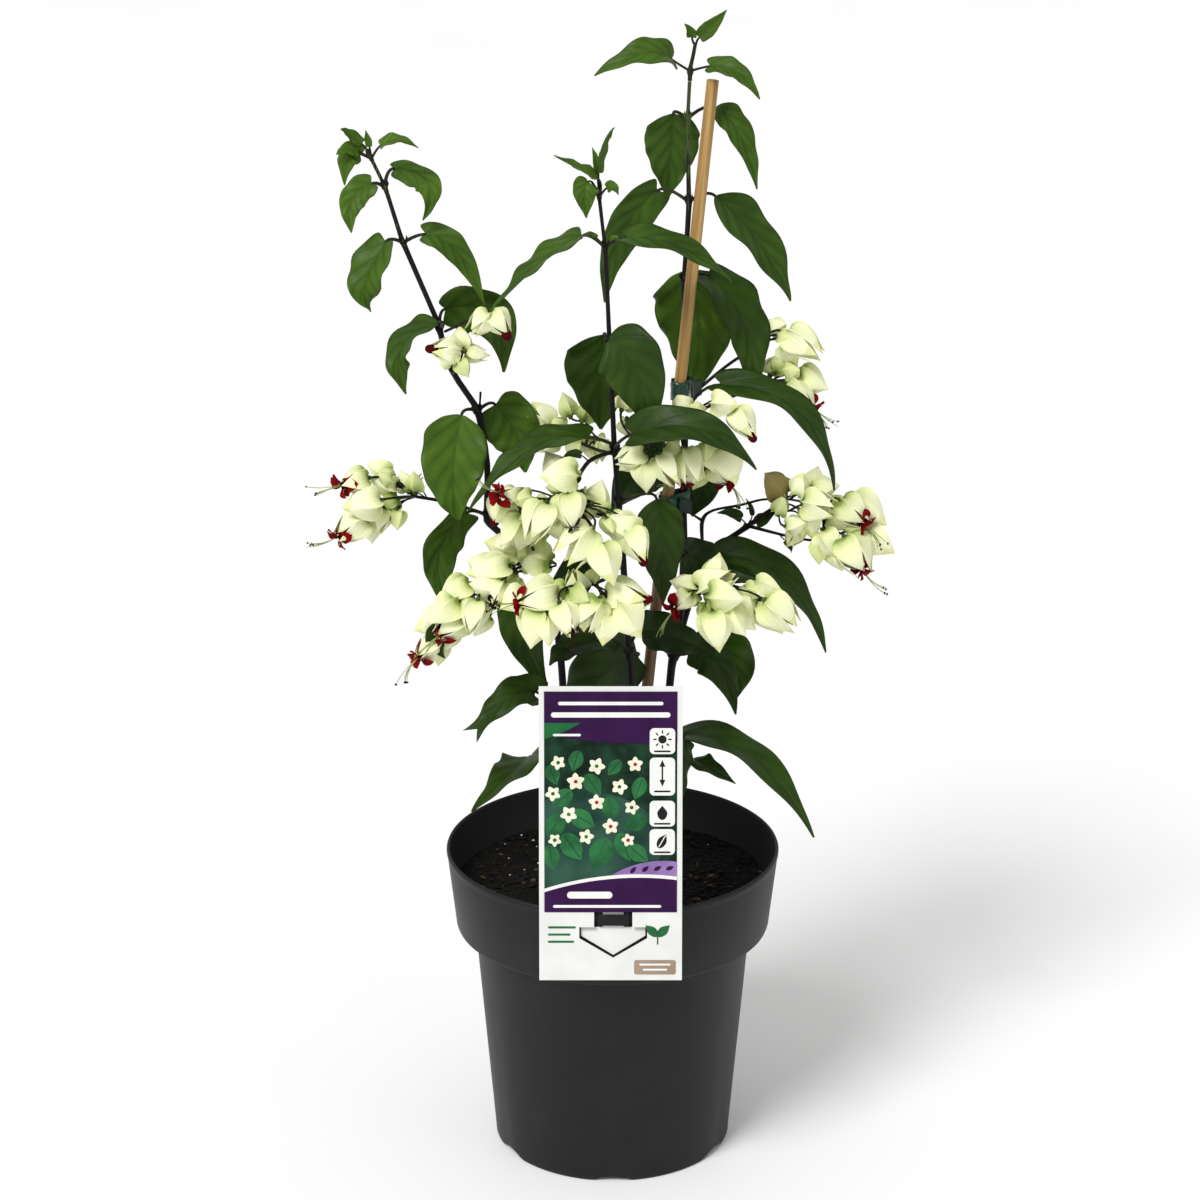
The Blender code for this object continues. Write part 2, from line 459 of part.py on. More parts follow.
def flower(name, hub, foot, direction, length, kind, twist):
    """Pedicel, five-angled calyx and, for kinds r and w, corolla and stamens, as one skin."""
    bm = bmesh.new()
    az = direction
    ax = az.orthogonal().normalized()
    ax = Matrix.Rotation(twist, 3, az) @ ax
    width = length * 0.86
    reach = foot - hub
    rings = []
    if reach.length > 9:
        bow = (hub + foot) / 2 - az * min(4.0, reach.length * 0.2)
        rings.append(ring_round(bm, hub, (bow - hub).normalized(), ax, [0.75]))
        rings.append(ring_round(bm, bow, reach.normalized(), ax, [0.8]))
    else:
        rings.append(ring_round(bm, hub, reach.normalized(), ax, [0.8]))
    bm.faces.new(rings[0])
    rings.append(ring_round(bm, foot, (az + reach.normalized() * 0.5).normalized(), ax, [0.12 * width]))
    rings.append(ring_round(bm, foot + az * 0.36 * length, az, ax, [0.5 * width]))
    if kind in "cb":
        rings.append(ring_round(bm, foot + az * 0.70 * length, az, ax, [0.33 * width]))
        rings.append([bm.verts.new((foot + az * length) * MM)])
    else:
        rings.append(ring_round(bm, foot, az, ax, [0.37 * width, 0.42 * width],
                                steps=[0.68 * length, 1.0 * length]))
        if kind == "o":
            rings.append([bm.verts.new((foot + az * 0.5 * length) * MM)])
        else:
            lobe = 7.5 if kind == "r" else 3.4
            end = foot + az * length
            rings.append(ring_round(bm, foot + az * 0.5 * length, az, ax, [1.7]))
            rings.append(ring_round(bm, end + az * 1.5, az, ax, [1.3]))
            rings.append(ring_round(bm, end, az, ax, [lobe * 0.45, lobe], steps=[3.2, 4.2]))
            rings.append(ring_round(bm, end + az * 3.9, az, ax, [0.9]))
            reach = 25 if kind == "r" else 14
            rings.append(ring_round(bm, end + az * reach * 0.6 + Vector((0, 0, -0.5)), az, ax, [0.55]))
            rings.append([bm.verts.new((end + az * reach + Vector((0, 0, -3))) * MM)])
    for low, high in zip(rings, rings[1:]):
        join_rings(bm, low, high)
    bmesh.ops.triangulate(bm, faces=[f for f in bm.faces if len(f.verts) > 4])
    return new_object(name, bm)


def prism(name, path, radius, sides):
    """A slim bar through a few points."""
    bm = bmesh.new()
    rows = []
    for i, p in enumerate(path):
        turn = (path[min(i + 1, len(path) - 1)] - path[max(i - 1, 0)]).to_track_quat("Z", "Y").to_matrix()
        rows.append([bm.verts.new((p + turn @ Vector((math.cos(2 * math.pi * k / sides),
                                                      math.sin(2 * math.pi * k / sides), 0)) * radius) * MM)
                     for k in range(sides)])
    for low, high in zip(rows, rows[1:]):
        join_rings(bm, low, high)
    bm.faces.new(rows[0])
    bm.faces.new(rows[-1])
    return new_object(name, bm)


def bloom(name, path, calyces, mat):
    """Peduncle and the flowers of one cluster, joined."""
    rng = random.Random(name)
    line = [Vector(p[:3]) for p in path]
    if name != "bloom_right":      # that one carries on from the end of the side branch
        line[0] = leave_stem(line[0], line[1], 0.5)[0]
    pieces = [prism(name + "_stalk", line, path[0][3], 5)]
    spots = []
    for a, b in zip(path[:-1], path[1:]):
        a, b = Vector(a[:3]), Vector(b[:3])
        steps = max(1, int((b - a).length / 3.0))
        spots += [a.lerp(b, (i + 1) / steps) for i in range(steps)]
    spots = spots[len(spots) // 3:]
    for k, (x, y, z, angle, seen, kind) in enumerate(calyces):
        foot = Vector((x, y, z))
        length = min(max(seen * 1.1, CALYX_MIN), CALYX_MAX)
        a = math.radians(angle)
        away = math.sqrt(max(length ** 2 - min(seen, length) ** 2, 0.0)) * 0.8
        toward = -1 if y <= path[-1][1] else 1
        direction = Vector((math.cos(a) * seen, toward * away, math.sin(a) * seen)).normalized()
        hub = min(spots, key=lambda p: (p - foot).length)
        if len(spots) > 1:
            spots.remove(hub)
        pieces.append(flower(f"{name}_{k}", hub, foot, direction, length, kind, rng.uniform(0, 1.2)))
    return union_of(name, pieces, mat, keep=BLOOM_KEEP)


def on_stem(point):
    """Nearest place on any stem: its centre, its radius and the stem's direction there."""
    point, best = Vector(point), None
    for chain in (STEM_LEFT, STEM_CENTRE, STEM_RIGHT, SIDE_BRANCH):
        for p, q in zip(chain, chain[1:]):
            a, b = Vector(p[:3]), Vector(q[:3])
            t = min(max((point - a).dot(b - a) / (b - a).length_squared, 0.0), 1.0)
            gap = (a.lerp(b, t) - point).length
            if best is None or gap < best[0]:
                best = (gap, a.lerp(b, t), p[3] + (q[3] - p[3]) * t, (b - a).normalized())
    return best[1:]


def leave_stem(point, aim, more=ROOT_GAP):
    """Where a stalk starts beside its stem on the way to aim, and the way its end face looks."""
    at, radius, along = on_stem(point)
    out = Vector(aim) - at
    out = (out - along * out.dot(along)).normalized()
    return at + out * (radius + more), out


# ---- build -------------------------------------------------------------------------------
for old in list(bpy.data.objects):
    bpy.data.objects.remove(old)
PARTS = bpy.data.collections.new("bleeding_heart_vine")
CUTTERS = bpy.data.collections.new("cutters")
bpy.context.scene.collection.children.link(PARTS)
bpy.context.scene.collection.children.link(CUTTERS)

M_POT = material("pot", (0.035, 0.036, 0.038))
M_SOIL = material("soil", (0.022, 0.016, 0.012))
M_STAKE = material("stake", (0.47, 0.27, 0.11))
M_TIE = material("tie", (0.01, 0.05, 0.03))
M_LABEL = material("label", (0.85, 0.85, 0.85))
M_STEM = material("stem", (0.015, 0.010, 0.012))
M_LEAF = material("leaf", (0.035, 0.11, 0.02))
M_SHOOT = material("shoot", (0.10, 0.25, 0.03))
M_BLOOM = material("bloom", (0.85, 0.86, 0.58))

# pot: turned wall with a stepped collar, label loop, arched notches in the foot, drain holes
pot = turned("pot", [
    (0, FLOOR_TOP_Z), (68.6, FLOOR_TOP_Z), (80.9, 137.5), (82.6, 141.8), (92.0, 142.4),
    (98.0, POT_HEIGHT - 0.6), (98.9, POT_HEIGHT), (RIM_R, POT_HEIGHT - 1.4), (99.6, 184.5),
    (COLLAR_LOW_R, COLLAR_LOW_Z + 2.0), (92.4, 140.2), (84.2, 139.6), (BODY_TOP_R, 138.0),
    (FOOT_R + 0.4, 2.0), (FOOT_R - 0.6, 0.0), (68.2, 0.0), (67.6, 4.2), (PAD_R + 0.8, 4.2),
    (PAD_R, 0.0), (0, 0.0)],
    POT_SIDES, M_POT)
loop = [box("loop_bar", (BAR_W, 2.0, 6.5), (0, -102.5, BAR_Z))]
for sx in (-1, 1):
    loop.append(box("loop_post", (2.2, 4.6, 6.5), (sx * (BAR_W / 2 - 1.1), -100.4, BAR_Z)))
pot = union_of("pot", [pot] + loop, M_POT, solver="EXACT")
notches = []
for i in range(6):
    a = math.radians(60 * i - 90)
    r = 69.5
    turn = Matrix.Rotation(a, 4, "Z") @ Matrix.Rotation(math.pi / 2, 4, "Y")
    bm = bmesh.new()
    bmesh.ops.create_cone(bm, cap_ends=True, segments=12, radius1=11.0 * MM, radius2=11.0 * MM,
                          depth=8.0 * MM)
    bmesh.ops.scale(bm, vec=(0.4, 1.0, 1.0), verts=bm.verts)
    bmesh.ops.transform(bm, matrix=turn, verts=bm.verts)
    bmesh.ops.translate(bm, vec=Vector((r * math.cos(a), r * math.sin(a), -0.4)) * MM, verts=bm.verts)
    notches.append(new_object(f"foot_notch_{i}", bm))
for i in range(6):
    a = math.radians(60 * i - 60)
    notches.append(rod(f"drain_hole_{i}", (48 * math.cos(a), 48 * math.sin(a), 1),
                       (48 * math.cos(a), 48 * math.sin(a), 10), 5.0, 8))
cut(pot, notches, solver="MANIFOLD")

# soil: fills the pot to a little under the rim, with plain holes for the stems and the stake
soil = turned("soil", [
    (0, FLOOR_TOP_Z + SOIL_DEPTH_GAP), (68.0, FLOOR_TOP_Z + SOIL_DEPTH_GAP), (80.2, 137.8),
    (82.0, 142.6), (91.2, 142.9), (94.4, 162.6), (86, 165.4), (66, 164.4), (44, SOIL_Z),
    (0, SOIL_Z)], POT_SIDES, M_SOIL)
soil_mesh = bmesh.new()
soil_mesh.from_mesh(soil.data)
lumps = random.Random(4)
for v in soil_mesh.verts:
    r = math.hypot(v.co.x, v.co.y) / MM
    if v.co.z > 163.5 * MM and 45 < r < 93:
        v.co.z += lumps.uniform(-1.4, 1.4) * MM
soil_mesh.to_mesh(soil.data)
soil_mesh.free()
stake_dir = (STAKE_TOP - STAKE_LOW).normalized()
stake_foot = STAKE_LOW - stake_dir * (SOIL_Z - BURIED_Z)
holes = []
for label, chain in (("left", STEM_LEFT), ("centre", STEM_CENTRE), ("right", STEM_RIGHT)):
    x, y, z, radius = chain[0]
    holes.append(rod("hole_" + label, (x, y, BURIED_Z - 1), (x, y, SOIL_Z + 4),
                     radius + HOLE_GAP + 0.15, 12))
holes.append(rod("hole_stake", stake_foot - stake_dir * 1.0, STAKE_LOW + stake_dir * 4,
                 STAKE_R + HOLE_GAP + 0.1, 18))
cut(soil, holes)

stake = rod("stake", stake_foot, STAKE_TOP, STAKE_R, 14, M_STAKE)
top_edges = bmesh.new()
top_edges.from_mesh(stake.data)
rim_edges = [e for e in top_edges.edges
             if all((v.co - STAKE_TOP * MM).length < (STAKE_R + 0.5) * MM for v in e.verts)]
bmesh.ops.bevel(top_edges, geom=rim_edges, offset=0.4 * MM, segments=1, affect="EDGES")
top_edges.to_mesh(stake.data)
top_edges.free()

# ties: a band of tape round the stake and the right stem, knotted at the back
def tie(name, z, tall):
    along = (z - STAKE_LOW.z) / (STAKE_TOP.z - STAKE_LOW.z)
    a = STAKE_LOW.lerp(STAKE_TOP, along)
    below = max((p for p in STEM_RIGHT if p[2] <= z), key=lambda p: p[2])
    above = min((p for p in STEM_RIGHT if p[2] > z), key=lambda p: p[2])
    f = (z - below[2]) / (above[2] - below[2])
    b = Vector(below[:3]).lerp(Vector(above[:3]), f)
    stem_r = max(below[3], above[3])
    span = Vector((b.x - a.x, b.y - a.y, 0))
    d = span.length
    ux, uy = span.normalized(), Vector((-span.y, span.x, 0)).normalized()
    slack = 0.9 + tall * 0.07
    outline = []
    for k in range(7):
        t = math.radians(90 + 30 * k)
        outline.append((math.cos(t), math.sin(t), 0.0, STAKE_R + slack))
    for k in range(7):
        t = math.radians(-90 + 30 * k)
        outline.append((math.cos(t), math.sin(t), d, stem_r + slack))
    bm = bmesh.new()
    rings = []
    for grow, dz in ((0.0, -0.5), (0.9, -0.5), (0.9, 0.5), (0.0, 0.5)):
        ring = []
        for c, s, off, radius in outline:
            p = Vector((a.x, a.y, z)) + ux * (off + c * (radius + grow)) + uy * s * (radius + grow)
            ring.append(bm.verts.new((p + Vector((0, 0, dz * tall))) * MM))
        rings.append(ring)
    for low, high in zip(rings, rings[1:] + rings[:1]):
        for k in range(len(low)):
            j = (k + 1) % len(low)
            bm.faces.new((low[k], low[j], high[j], high[k]))
    band = new_object(name + "_band", bm)
    knot_at = Vector((a.x, a.y, z)) + ux * d * 0.5 - uy * (max(STAKE_R, stem_r) + slack + 1.6)
    turn = Matrix.Rotation(math.atan2(ux.y, ux.x), 4, "Z")
    knot = box(name + "_knot", (4.5, 3.0, tall * 0.5), knot_at, turn=turn)
    return union_of(name, [band, knot], M_TIE, solver="EXACT")


tie_upper = tie("tie_upper", 470.0, 11.0)
tie_lower = tie("tie_lower", 401.0, 11.0)

# label: a card with an arrow-shaped tongue bent back behind the pot's loop
LABEL_FOOT = Vector((-1.5, -110.6, 152.5))
lean = Matrix.Rotation(-LABEL_LEAN, 4, "X")


def arrow(grow, top):
    """The tongue's outline in the card's own plane (across, up), counted from the card's foot."""
    neck, head_w, shoulder, tip = 10.0 + grow, 18.5 + grow, 30.5 + grow * 0.6, 14.5 - grow * 1.4
    cx = 1.5
    return [(cx - neck, top), (cx - neck, shoulder), (cx - head_w, shoulder), (cx - head_w, 25.5 - grow),
            (cx, tip), (cx + head_w, 25.5 - grow), (cx + head_w, shoulder), (cx + neck, shoulder),
            (cx + neck, top)]


def plate(name, outline, near, far, mat=None, levels=()):
    bm = bmesh.new()
    face = bm.faces.new([bm.verts.new(Vector((x, near, h)) * MM) for x, h in outline])
    more = bmesh.ops.extrude_face_region(bm, geom=[face])
    bmesh.ops.translate(bm, vec=(0, (far - near) * MM, 0),
                        verts=[g for g in more["geom"] if isinstance(g, bmesh.types.BMVert)])
    for level in levels:
        bmesh.ops.bisect_plane(bm, geom=bm.verts[:] + bm.edges[:] + bm.faces[:],
                               plane_co=(0, 0, level * MM), plane_no=(0, 0, 1))
    return new_object(name, bm, mat)


card = plate("card", [(-LABEL_W / 2, 0), (LABEL_W / 2, 0), (LABEL_W / 2, LABEL_H), (-LABEL_W / 2, LABEL_H)],
             -LABEL_T / 2, LABEL_T / 2)
window = plate("card_window", arrow(1.0, 50.0), -3, 3)
cut(card, [window])
tongue = plate("tongue", [(1.5 + (x - 1.5) * (0.6 if abs(x - 1.5) < 12 else 1.0), h)
                          for x, h in arrow(0.0, 52.0)],
               -LABEL_T / 2, LABEL_T / 2, levels=(47.0, 43.0, 38.5, 35.0, 31.2))
bend = bmesh.new()
bend.from_mesh(tongue.data)
for v in bend.verts:
    h = v.co.z / MM
    t = min(max((47.5 - h) / 9.0, 0.0), 1.0)
    back = 1.9 * t * t * (3 - 2 * t) + min(max(38.5 - h, 0.0), 7.5) * 0.2126
    v.co.y += (back - max(31.0 - h, 0.0) * 0.1) * MM
bend.to_mesh(tongue.data)
bend.free()
label = union_of("label", [card, tongue], M_LABEL, solver="EXACT")
label.data.transform(Matrix.Translation(LABEL_FOOT * MM) @ lean)

# stems
stem_left = tube("stem_left", STEM_LEFT, STEM_SIDES, M_STEM)
stem_centre = tube("stem_centre", STEM_CENTRE, STEM_SIDES, M_STEM)
stem_right = union_of("stem_right", [tube("main", STEM_RIGHT, STEM_SIDES),
                                     tube("side", SIDE_BRANCH, STEM_SIDES)], M_STEM)

# leaves
for row in LEAVES:
    start, out = leave_stem(row[1], row[2])
    leaf(row[0], (start,) + row[2:], M_LEAF, columns=5 if row[0] in WIDE_LEAVES else 3, out=out)


def bud(chain):
    """The green end of a stem: it stands just off the stem's own end."""
    end, before = Vector(chain[-1][:3]), Vector(chain[-2][:3])
    up = (end - before).normalized()
    return [(*(end + up * rise), chain[-1][3] * 1.25) for rise in (0.4, 3.4, 5.9)]


def tip_shoot(name, rows, tip):
    """A tip shoot: the last bit of stem with its young leaves."""
    pieces = [tube(name + "_tip", tip, STEM_SIDES)]
    for k, row in enumerate(rows):
        start = min((Vector(p[:3]) for p in tip[1:]), key=lambda p: (p - Vector(row[0])).length)
        pieces.append(leaf(f"{name}_{k}", (start,) + row[1:], None, petiole=0.75,
                           blade=BLADE if row[4] > 12 else SMALL_BLADE))
    return union_of(name, pieces, M_SHOOT, keep=0.62)


tip_shoot("shoot_left", SHOOT_LEFT, bud(STEM_LEFT))
tip_shoot("shoot_centre", SHOOT_CENTRE, bud(STEM_CENTRE))
tip_shoot("shoot_right", SHOOT_RIGHT, TIP_RIGHT)
low_start, low_out = leave_stem(LOW_SHOOT[0][0], LOW_SHOOT[0][1])
low_pieces = [leaf("low_0", (low_start,) + LOW_SHOOT[0][1:], None, out=low_out)]
for k, row in enumerate(LOW_SHOOT[1:]):
    low_pieces.append(leaf(f"low_{k + 1}", row, None, blade=SMALL_BLADE))
union_of("shoot_low_right", low_pieces, M_LEAF, keep=0.85)

# flower clusters
for name, (path, calyces) in BLOOMS.items():
    bloom(name, path, calyces, M_BLOOM)

for obj in PARTS.objects:
    obj.data.shade_smooth()
    obj.data.set_sharp_from_angle(angle=math.radians(40))
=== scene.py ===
# %% [markdown]
# # A bleeding heart vine in its nursery pot
# A climbing shrub as the nursery sells it: three thin woody stems in a 200 mm plastic pot, held to
# a bamboo stake by two tape ties, with glossy opposite leaves, clusters of cream lantern-shaped
# calyces, and crimson flowers that hang out of some of them. A printed card hangs on the rim.
# The frame that is loaded first holds a plain solid for every leaf, cluster, stem and part. Each is
# replaced here by a finely shaped piece in the same place, so the two always agree.

import math
import random

import bmesh
import bpy
from mathutils import Matrix, Vector, noise


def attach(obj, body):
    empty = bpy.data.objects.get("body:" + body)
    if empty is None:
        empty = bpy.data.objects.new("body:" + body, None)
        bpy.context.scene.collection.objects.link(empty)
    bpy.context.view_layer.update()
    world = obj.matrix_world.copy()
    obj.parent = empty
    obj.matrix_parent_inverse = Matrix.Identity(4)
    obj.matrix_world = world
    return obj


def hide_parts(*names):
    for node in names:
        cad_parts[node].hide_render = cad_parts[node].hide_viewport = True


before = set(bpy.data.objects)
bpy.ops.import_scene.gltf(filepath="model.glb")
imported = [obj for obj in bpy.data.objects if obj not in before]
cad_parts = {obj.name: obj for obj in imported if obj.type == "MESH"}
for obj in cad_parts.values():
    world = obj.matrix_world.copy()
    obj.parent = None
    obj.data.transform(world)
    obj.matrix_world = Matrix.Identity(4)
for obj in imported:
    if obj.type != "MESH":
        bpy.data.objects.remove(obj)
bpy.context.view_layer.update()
MM = 0.001
print("nodes in the frame:", len(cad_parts))

# %% [markdown]
# ## Camera, floor and light
# The plant stands on a white table under soft studio light. The camera stands 0.3 m above the top
# of the plant, nearly two metres away, and looks down at about 19 degrees with a long lens, which
# is why the pot's rim shows as an open ellipse. A broad sun from the front left and a pale, even
# room give soft highlights and one faint shadow, and a weak disc lamp lifts the right side.

# %% Camera
SENSOR = 36.0          # mm
LENS = 101.1           # mm
LOOK_DOWN = 19.31      # degrees
camera_data = bpy.data.cameras.new("camera")
camera_data.sensor_width = SENSOR
camera_data.lens = LENS
camera = bpy.data.objects.new("camera", camera_data)
camera.location = (-0.0076, -1.8688, 1.0003)
camera.rotation_euler = (math.radians(90 - LOOK_DOWN), 0, 0)
bpy.context.scene.collection.objects.link(camera)
bpy.context.scene.camera = camera
bpy.context.scene.view_settings.view_transform = "Standard"
print("camera pitch", round(90 - math.degrees(camera.rotation_euler.x), 2))


# %% Colours and a node helper
def srgb(code):
    """An sRGB hex colour as linear RGBA."""
    parts = [int(code[i:i + 2], 16) / 255 for i in (1, 3, 5)]
    return tuple(c / 12.92 if c <= 0.04045 else ((c + 0.055) / 1.055) ** 2.4 for c in parts) + (1.0,)


def add(mat, kind, links=(), stops=(), **settings):
    """Add one node. A setting is a property, or a socket when its name starts with 'in_'.

    A colour ramp's stops are pairs of a place from 0 to 1 and a hex colour.
    """
    node = mat.node_tree.nodes.new(kind)
    for key, value in settings.items():
        if key.startswith("in_"):
            name = key[3:].replace("_", " ")
            node.inputs[int(name) if name.isdigit() else name].default_value = value
        else:
            setattr(node, key, value)
    if stops:
        band = node.color_ramp
        while len(band.elements) < len(stops):
            band.elements.new(0.5)
        for element, (stop, code) in zip(band.elements, stops):
            element.position, element.color = min(stop, 1.0), srgb(code)
    for socket, source in dict(links).items():
        mat.node_tree.links.new(source, node.inputs[socket])
    return node


# %% Materials
def new_material(name, **finish):
    """A material with one Principled shader; the finish is set on its own sockets."""
    mat = bpy.data.materials.new(name)
    mat.use_nodes = True
    mat.node_tree.nodes.clear()
    shader = add(mat, "ShaderNodeBsdfPrincipled")
    for key, value in finish.items():
        shader.inputs[key.replace("_", " ")].default_value = value
    add(mat, "ShaderNodeOutputMaterial", {"Surface": shader.outputs[0]})
    return mat, shader


def join(mat, shader, socket, source):
    """Link an output to a socket of the material's shader."""
    mat.node_tree.links.new(source, shader.inputs[socket])


def plain_skin(name, low, high, rough, scale):
    """A skin mottled between two colours, its spots a few tenths of a millimetre to millimetres."""
    mat, shader = new_material(name, Roughness=rough, Specular_IOR_Level=0.2)
    at = add(mat, "ShaderNodeTexCoord").outputs["Object"]
    spots = add(mat, "ShaderNodeTexNoise", {"Vector": at}, in_Scale=scale, in_Detail=3.0).outputs["Fac"]
    mottle = add(mat, "ShaderNodeValToRGB", {"Fac": spots}, stops=[(0.35, low), (0.65, high)])
    join(mat, shader, "Base Color", mottle.outputs["Color"])
    bump = add(mat, "ShaderNodeBump", {"Height": spots}, in_Strength=0.3, in_Distance=0.0002)
    join(mat, shader, "Normal", bump.outputs[0])
    return mat


# %% Floor and lamps
floor_mat, floor_shader = new_material("white_table_laminate", Roughness=0.55)
coords = add(floor_mat, "ShaderNodeTexCoord").outputs["Object"]
grain = add(floor_mat, "ShaderNodeTexNoise", {"Vector": coords}, in_Scale=3.0).outputs["Fac"]
white = add(floor_mat, "ShaderNodeValToRGB", {"Fac": grain}, stops=[(0.3, "#f7f7f7"), (0.7, "#fafafa")])
join(floor_mat, floor_shader, "Base Color", white.outputs["Color"])
floor_bm = bmesh.new()
bmesh.ops.create_grid(floor_bm, x_segments=2, y_segments=2, size=6.0)
floor_mesh = bpy.data.meshes.new("floor")
floor_bm.to_mesh(floor_mesh)
floor_bm.free()
floor = bpy.data.objects.new("floor", floor_mesh)
floor.data.materials.append(floor_mat)
bpy.context.scene.collection.objects.link(floor)

world = bpy.data.worlds.new("soft_room")
bpy.context.scene.world = world
world.use_nodes = True
world.node_tree.nodes["Background"].inputs["Color"].default_value = srgb("#fbfbfa")
world.node_tree.nodes["Background"].inputs["Strength"].default_value = 0.60


def lamp(name, place, aim, size, power, kind="AREA"):
    """A soft lamp: a disc of this size in metres, or far off, a sun this many degrees wide."""
    light = bpy.data.lights.new(name, kind)
    light.energy = power
    if kind == "SUN":
        light.angle = math.radians(size)
    else:
        light.shape, light.size = "DISK", size
    item = bpy.data.objects.new(name, light)
    item.location = place
    item.rotation_euler = (Vector(aim) - Vector(place)).to_track_quat("-Z", "Y").to_euler()
    bpy.context.scene.collection.objects.link(item)


lamp("key", (-1.1, -1.6, 2.4), (0, 0, 0.3), 22, 2.35, "SUN")
lamp("fill", (1.7, -1.3, 1.3), (0, 0, 0.35), 1.1, 3)


# %% [markdown]
# ## Working in millimetres, and finishing a piece
# Every shape is made in a bmesh in metres from values in millimetres. A finished piece keeps its
# object at the origin, rides on the one body of this object, and stands for the plain solid.

# %% Helpers for pieces
def make_mesh(name, bm):
    """A mesh from a bmesh, which is then freed."""
    mesh = bpy.data.meshes.new(name)
    bm.to_mesh(mesh)
    bm.free()
    return mesh


def finish_piece(name, bm, materials, node=None, smooth=True):
    """A piece from a bmesh: it rides on the body, and stands for a node of the frame if one is named."""
    mesh = make_mesh(name, bm)
    for mat in materials:
        mesh.materials.append(mat)
    if smooth:
        mesh.shade_smooth()
    piece = bpy.data.objects.new(name, mesh)
    bpy.context.scene.collection.objects.link(piece)
    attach(piece, "root")
    if node:
        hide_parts(node)
    return piece


# %% Lines and tubes
def facing(start, end, twist=0.0):
    """A turn that takes +Z to the way from start to end."""
    way = (end - start).normalized()
    return way.to_track_quat("Z", "Y").to_matrix() @ Matrix.Rotation(twist, 3, "Z")


def curve_through(points, steps):
    """Points of a smooth line through the given ones; each may carry a radius as its fourth."""
    points = [Vector(p) for p in points]
    line = []
    for i in range(len(points) - 1):
        a, b = points[max(i - 1, 0)], points[i]
        c, d = points[i + 1], points[min(i + 2, len(points) - 1)]
        for k in range(steps):
            t = k / steps
            line.append(0.5 * (2 * b + (c - a) * t + (2 * a - 5 * b + 4 * c - d) * t * t
                               + (3 * b - a - 3 * c + d) * t ** 3))
    return line + [points[-1]]


def sweep(bm, line, sides, mat=0):
    """A round tube along a line of (x, y, z, radius) in mm: a circle, extruded from place to place."""
    line = [Vector(p) for p in line]
    ends = [p.to_3d() for p in line]
    verts = bmesh.ops.create_circle(bm, cap_ends=True, segments=sides, radius=1.0)["verts"]
    cap = verts[0].link_faces[0]
    cap.material_index = mat
    cap.normal_flip()
    edges = list(cap.edges)
    turn = facing(ends[0], ends[1])
    for i, p in enumerate(line):
        ahead, behind = ends[min(i + 1, len(ends) - 1)], ends[max(i - 1, 0)]
        if i:
            way = (ahead - behind).normalized()
            turn = turn.col[2].rotation_difference(way).to_matrix() @ turn
            grown = bmesh.ops.extrude_edge_only(bm, edges=edges)["geom"]
            edges = [g for g in grown if isinstance(g, bmesh.types.BMEdge)
                     and all(v not in verts for v in g.verts)]
            for g in grown:
                if isinstance(g, bmesh.types.BMFace):
                    g.material_index = mat
            verts = [g for g in grown if isinstance(g, bmesh.types.BMVert)]
            back = last_turn.transposed()
            for v in verts:
                off = v.co - ends[i - 1] * MM
                v.co = ends[i] * MM + turn @ (back @ off) * (p.w / max(last_r, 1e-6))
        else:
            for v in verts:
                v.co = ends[0] * MM + turn @ v.co * (p.w * MM)
        last_turn, last_r = turn, p.w
    for f in bmesh.ops.contextual_create(bm, geom=edges)["faces"]:
        f.material_index = mat


# %% [markdown]
# ## Stems
# Three woody stems grow from the soil, thin and nearly black with a purple cast, and turn dark
# green towards their growing tips. Every pair of leaves leaves the stem at a swollen node. A tube
# swept through the same points as the plain stems, with its radius swelling at each node, gives
# that; the curve through the points takes the stiffness out of it.

# %% Stem bark
# young bark: smooth, faintly streaked lengthwise, with pale corky dots about 1 mm apart
bark, bark_shader = new_material("woody_stem_bark", Roughness=0.5, Specular_IOR_Level=0.18)
at = add(bark, "ShaderNodeTexCoord").outputs["Object"]
height = add(bark, "ShaderNodeSeparateXYZ", {"Vector": at}).outputs["Z"]
rise = add(bark, "ShaderNodeMapRange", {"Value": height}, in_From_Min=0.48, in_From_Max=0.74)
stretch = add(bark, "ShaderNodeMapping", {"Vector": at}, in_Scale=(900, 900, 120)).outputs[0]
streak = add(bark, "ShaderNodeTexNoise", {"Vector": stretch}, in_Scale=1.0, in_Detail=3.0).outputs["Fac"]
blend = add(bark, "ShaderNodeMath", {0: rise.outputs[0], 1: streak}, operation="ADD").outputs[0]
# green takes over where height and streaks add up to 1, which is near the tips alone
purple = add(bark, "ShaderNodeValToRGB", {"Fac": blend}, stops=[
    (0.35, "#0b080b"), (0.75, "#110d10"), (1.0, "#16150f"), (1.0, "#3c4a20")])
join(bark, bark_shader, "Base Color", purple.outputs["Color"])
dots = add(bark, "ShaderNodeBump", {"Height": streak}, in_Strength=0.5, in_Distance=0.0003)
join(bark, bark_shader, "Normal", dots.outputs[0])

